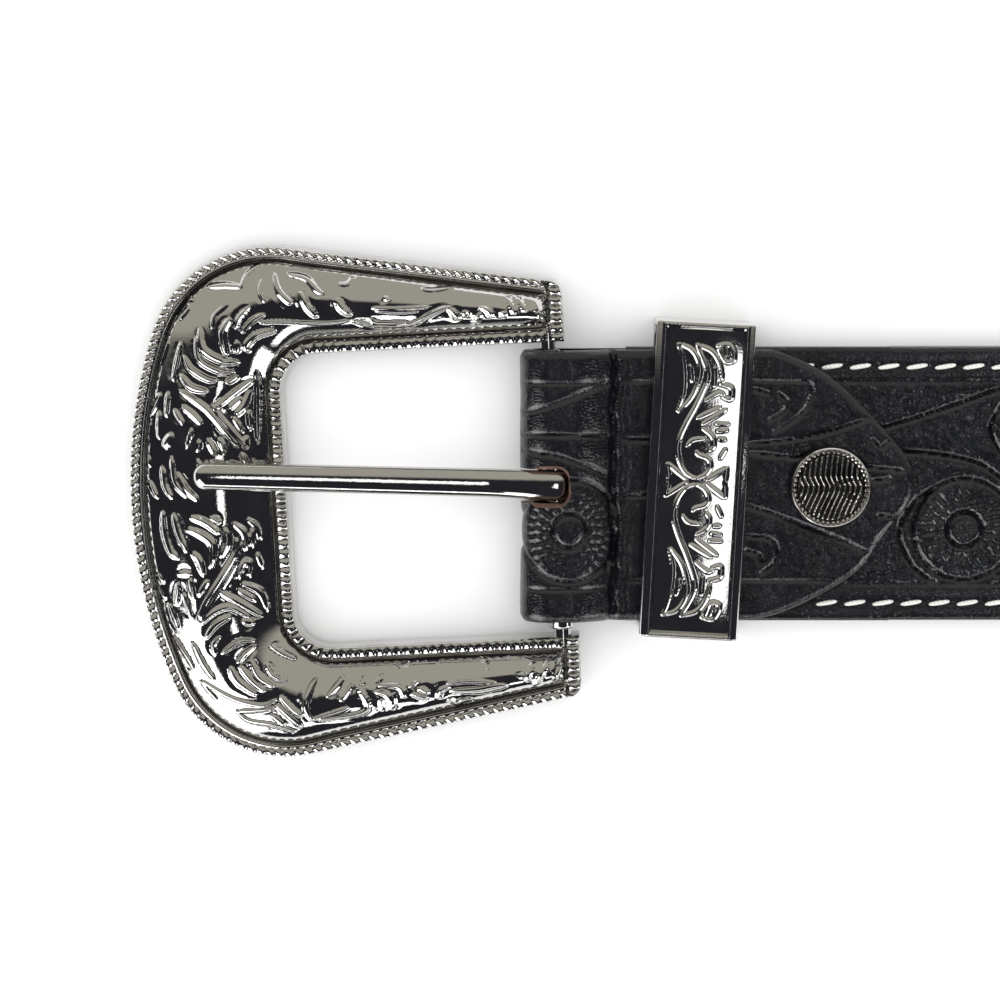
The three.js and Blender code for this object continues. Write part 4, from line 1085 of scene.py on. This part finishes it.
def disc_depth(place):
    return unit((stud_low + stud_tall - 0.24 - place[:, 2]) * 4)


disc = sheet_of("stud_disc", spokes + 1, len(disc_radii), place_disc)
stud_plate = plated("stud_metal", (0.7, 0.68, 0.65), (0.012, 0.011, 0.011), 0.12, 0.9)
disc.data.materials.append(stud_plate)
give_depth(disc, disc_depth)
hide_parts("stud_cap")
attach(disc, "strap")
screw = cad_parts["stud_screw"]
finish_with(screw, plated("screw_metal", (0.58, 0.57, 0.56), (0.25, 0.24, 0.22), 0.2))

# Stitching: waxed off-white thread, one row along each edge and round the tip, through both plies.
# Each stitch leans a little, with its ends pulled into the leather.
stitch_pitch, stitch_long, thread_thick = 3.9, 3.0, 0.66
row_y, stitch_start, row_back = 16.3, 34.2, 37.6
tip_turns = np.linspace(0, math.pi, 40)
tip_start = strap_end - tip_length
out_xs = (*np.arange(stitch_start, 100, 4.0), *np.arange(100, tip_start, 30))
back_xs = (*np.arange(tip_start, 100, -30), *np.arange(100, row_back + 1, -4.0), row_back)
row_points = [(x, row_y) for x in out_xs]
row_points += [(tip_start + (tip_length - 3) * math.sin(t), row_y * math.cos(t)) for t in tip_turns]
row_points += [(x, -16.5) for x in back_xs]
row_points = np.array(row_points)
row_length = run_along(row_points)[-1]
thread, look, place = new_finish("thread")
twist = {"Vector": place, "Scale": 900, "Distortion": 2.5, "Detail": 2}
strands = look.node("TexWave", {"bands_direction": "DIAGONAL"}, twist).out("Fac")
soil = look.noise(place, 700, 3)
look.surface({
    "Base Color": (strands * 0.5 + soil * 0.5).blend((0.55, 0.53, 0.49), (0.9, 0.885, 0.85)),
    "Roughness": 0.62 + soil * 0.2,
    "Normal": look.node("Bump", (), {"Strength": 0.7, "Distance": 0.06 * mm, "Height": strands}),
})
for name, side in (("stitches_face", 1), ("stitches_back", 0)):
    sphere = bpy.ops.mesh.primitive_uv_sphere_add
    stitch = added(sphere, segments=8, ring_count=6, radius=1, rotation=(0, math.pi / 2, 0))
    stitch.name = stitch.data.name = name
    bpy.ops.object.transform_apply(location=False, rotation=True, scale=False)
    for point in stitch.data.vertices:
        point.co.x = math.copysign(abs(point.co.x) ** 0.6, point.co.x)
    bpy.ops.transform.resize(value=(stitch_long / 2 * mm, thread_thick / 2 * mm, thread_thick / 2 * mm))
    stitch.rotation_euler = (0, 0, math.radians(9))
    bpy.ops.object.transform_apply(location=False, rotation=True, scale=True)
    bpy.ops.object.shade_smooth()
    low, high = strap_levels(row_points[:, 0] + 11 * (row_points[:, 0] < 46.3))
    z = np.where(side, high - 0.02, low + 0.14)
    path = bpy.data.curves.new("stitch_row", "CURVE")
    path.dimensions, path.twist_mode = "3D", "Z_UP"
    spline = path.splines.new("POLY")
    spline.points.add(len(row_points) - 1)
    for point, (px, py), pz in zip(spline.points, row_points, z):
        point.co = ((px + bar_x) * mm, py * mm, pz * mm, 1)
    path_object = bpy.data.objects.new("stitch_row", path)
    scene.collection.objects.link(path_object)
    many = stitch.modifiers.new("row", "ARRAY")
    many.use_relative_offset, many.use_constant_offset = False, True
    many.count = round(row_length / stitch_pitch) + 1
    many.constant_offset_displace = (row_length / (many.count - 1) * mm, 0, 0)
    bend = stitch.modifiers.new("follow", "CURVE")
    bend.object = path_object
    bpy.ops.object.modifier_apply(modifier="row")
    bpy.ops.object.modifier_apply(modifier="follow")
    bpy.data.objects.remove(path_object)
    stitch.data.materials.append(thread)
    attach(stitch, "strap")
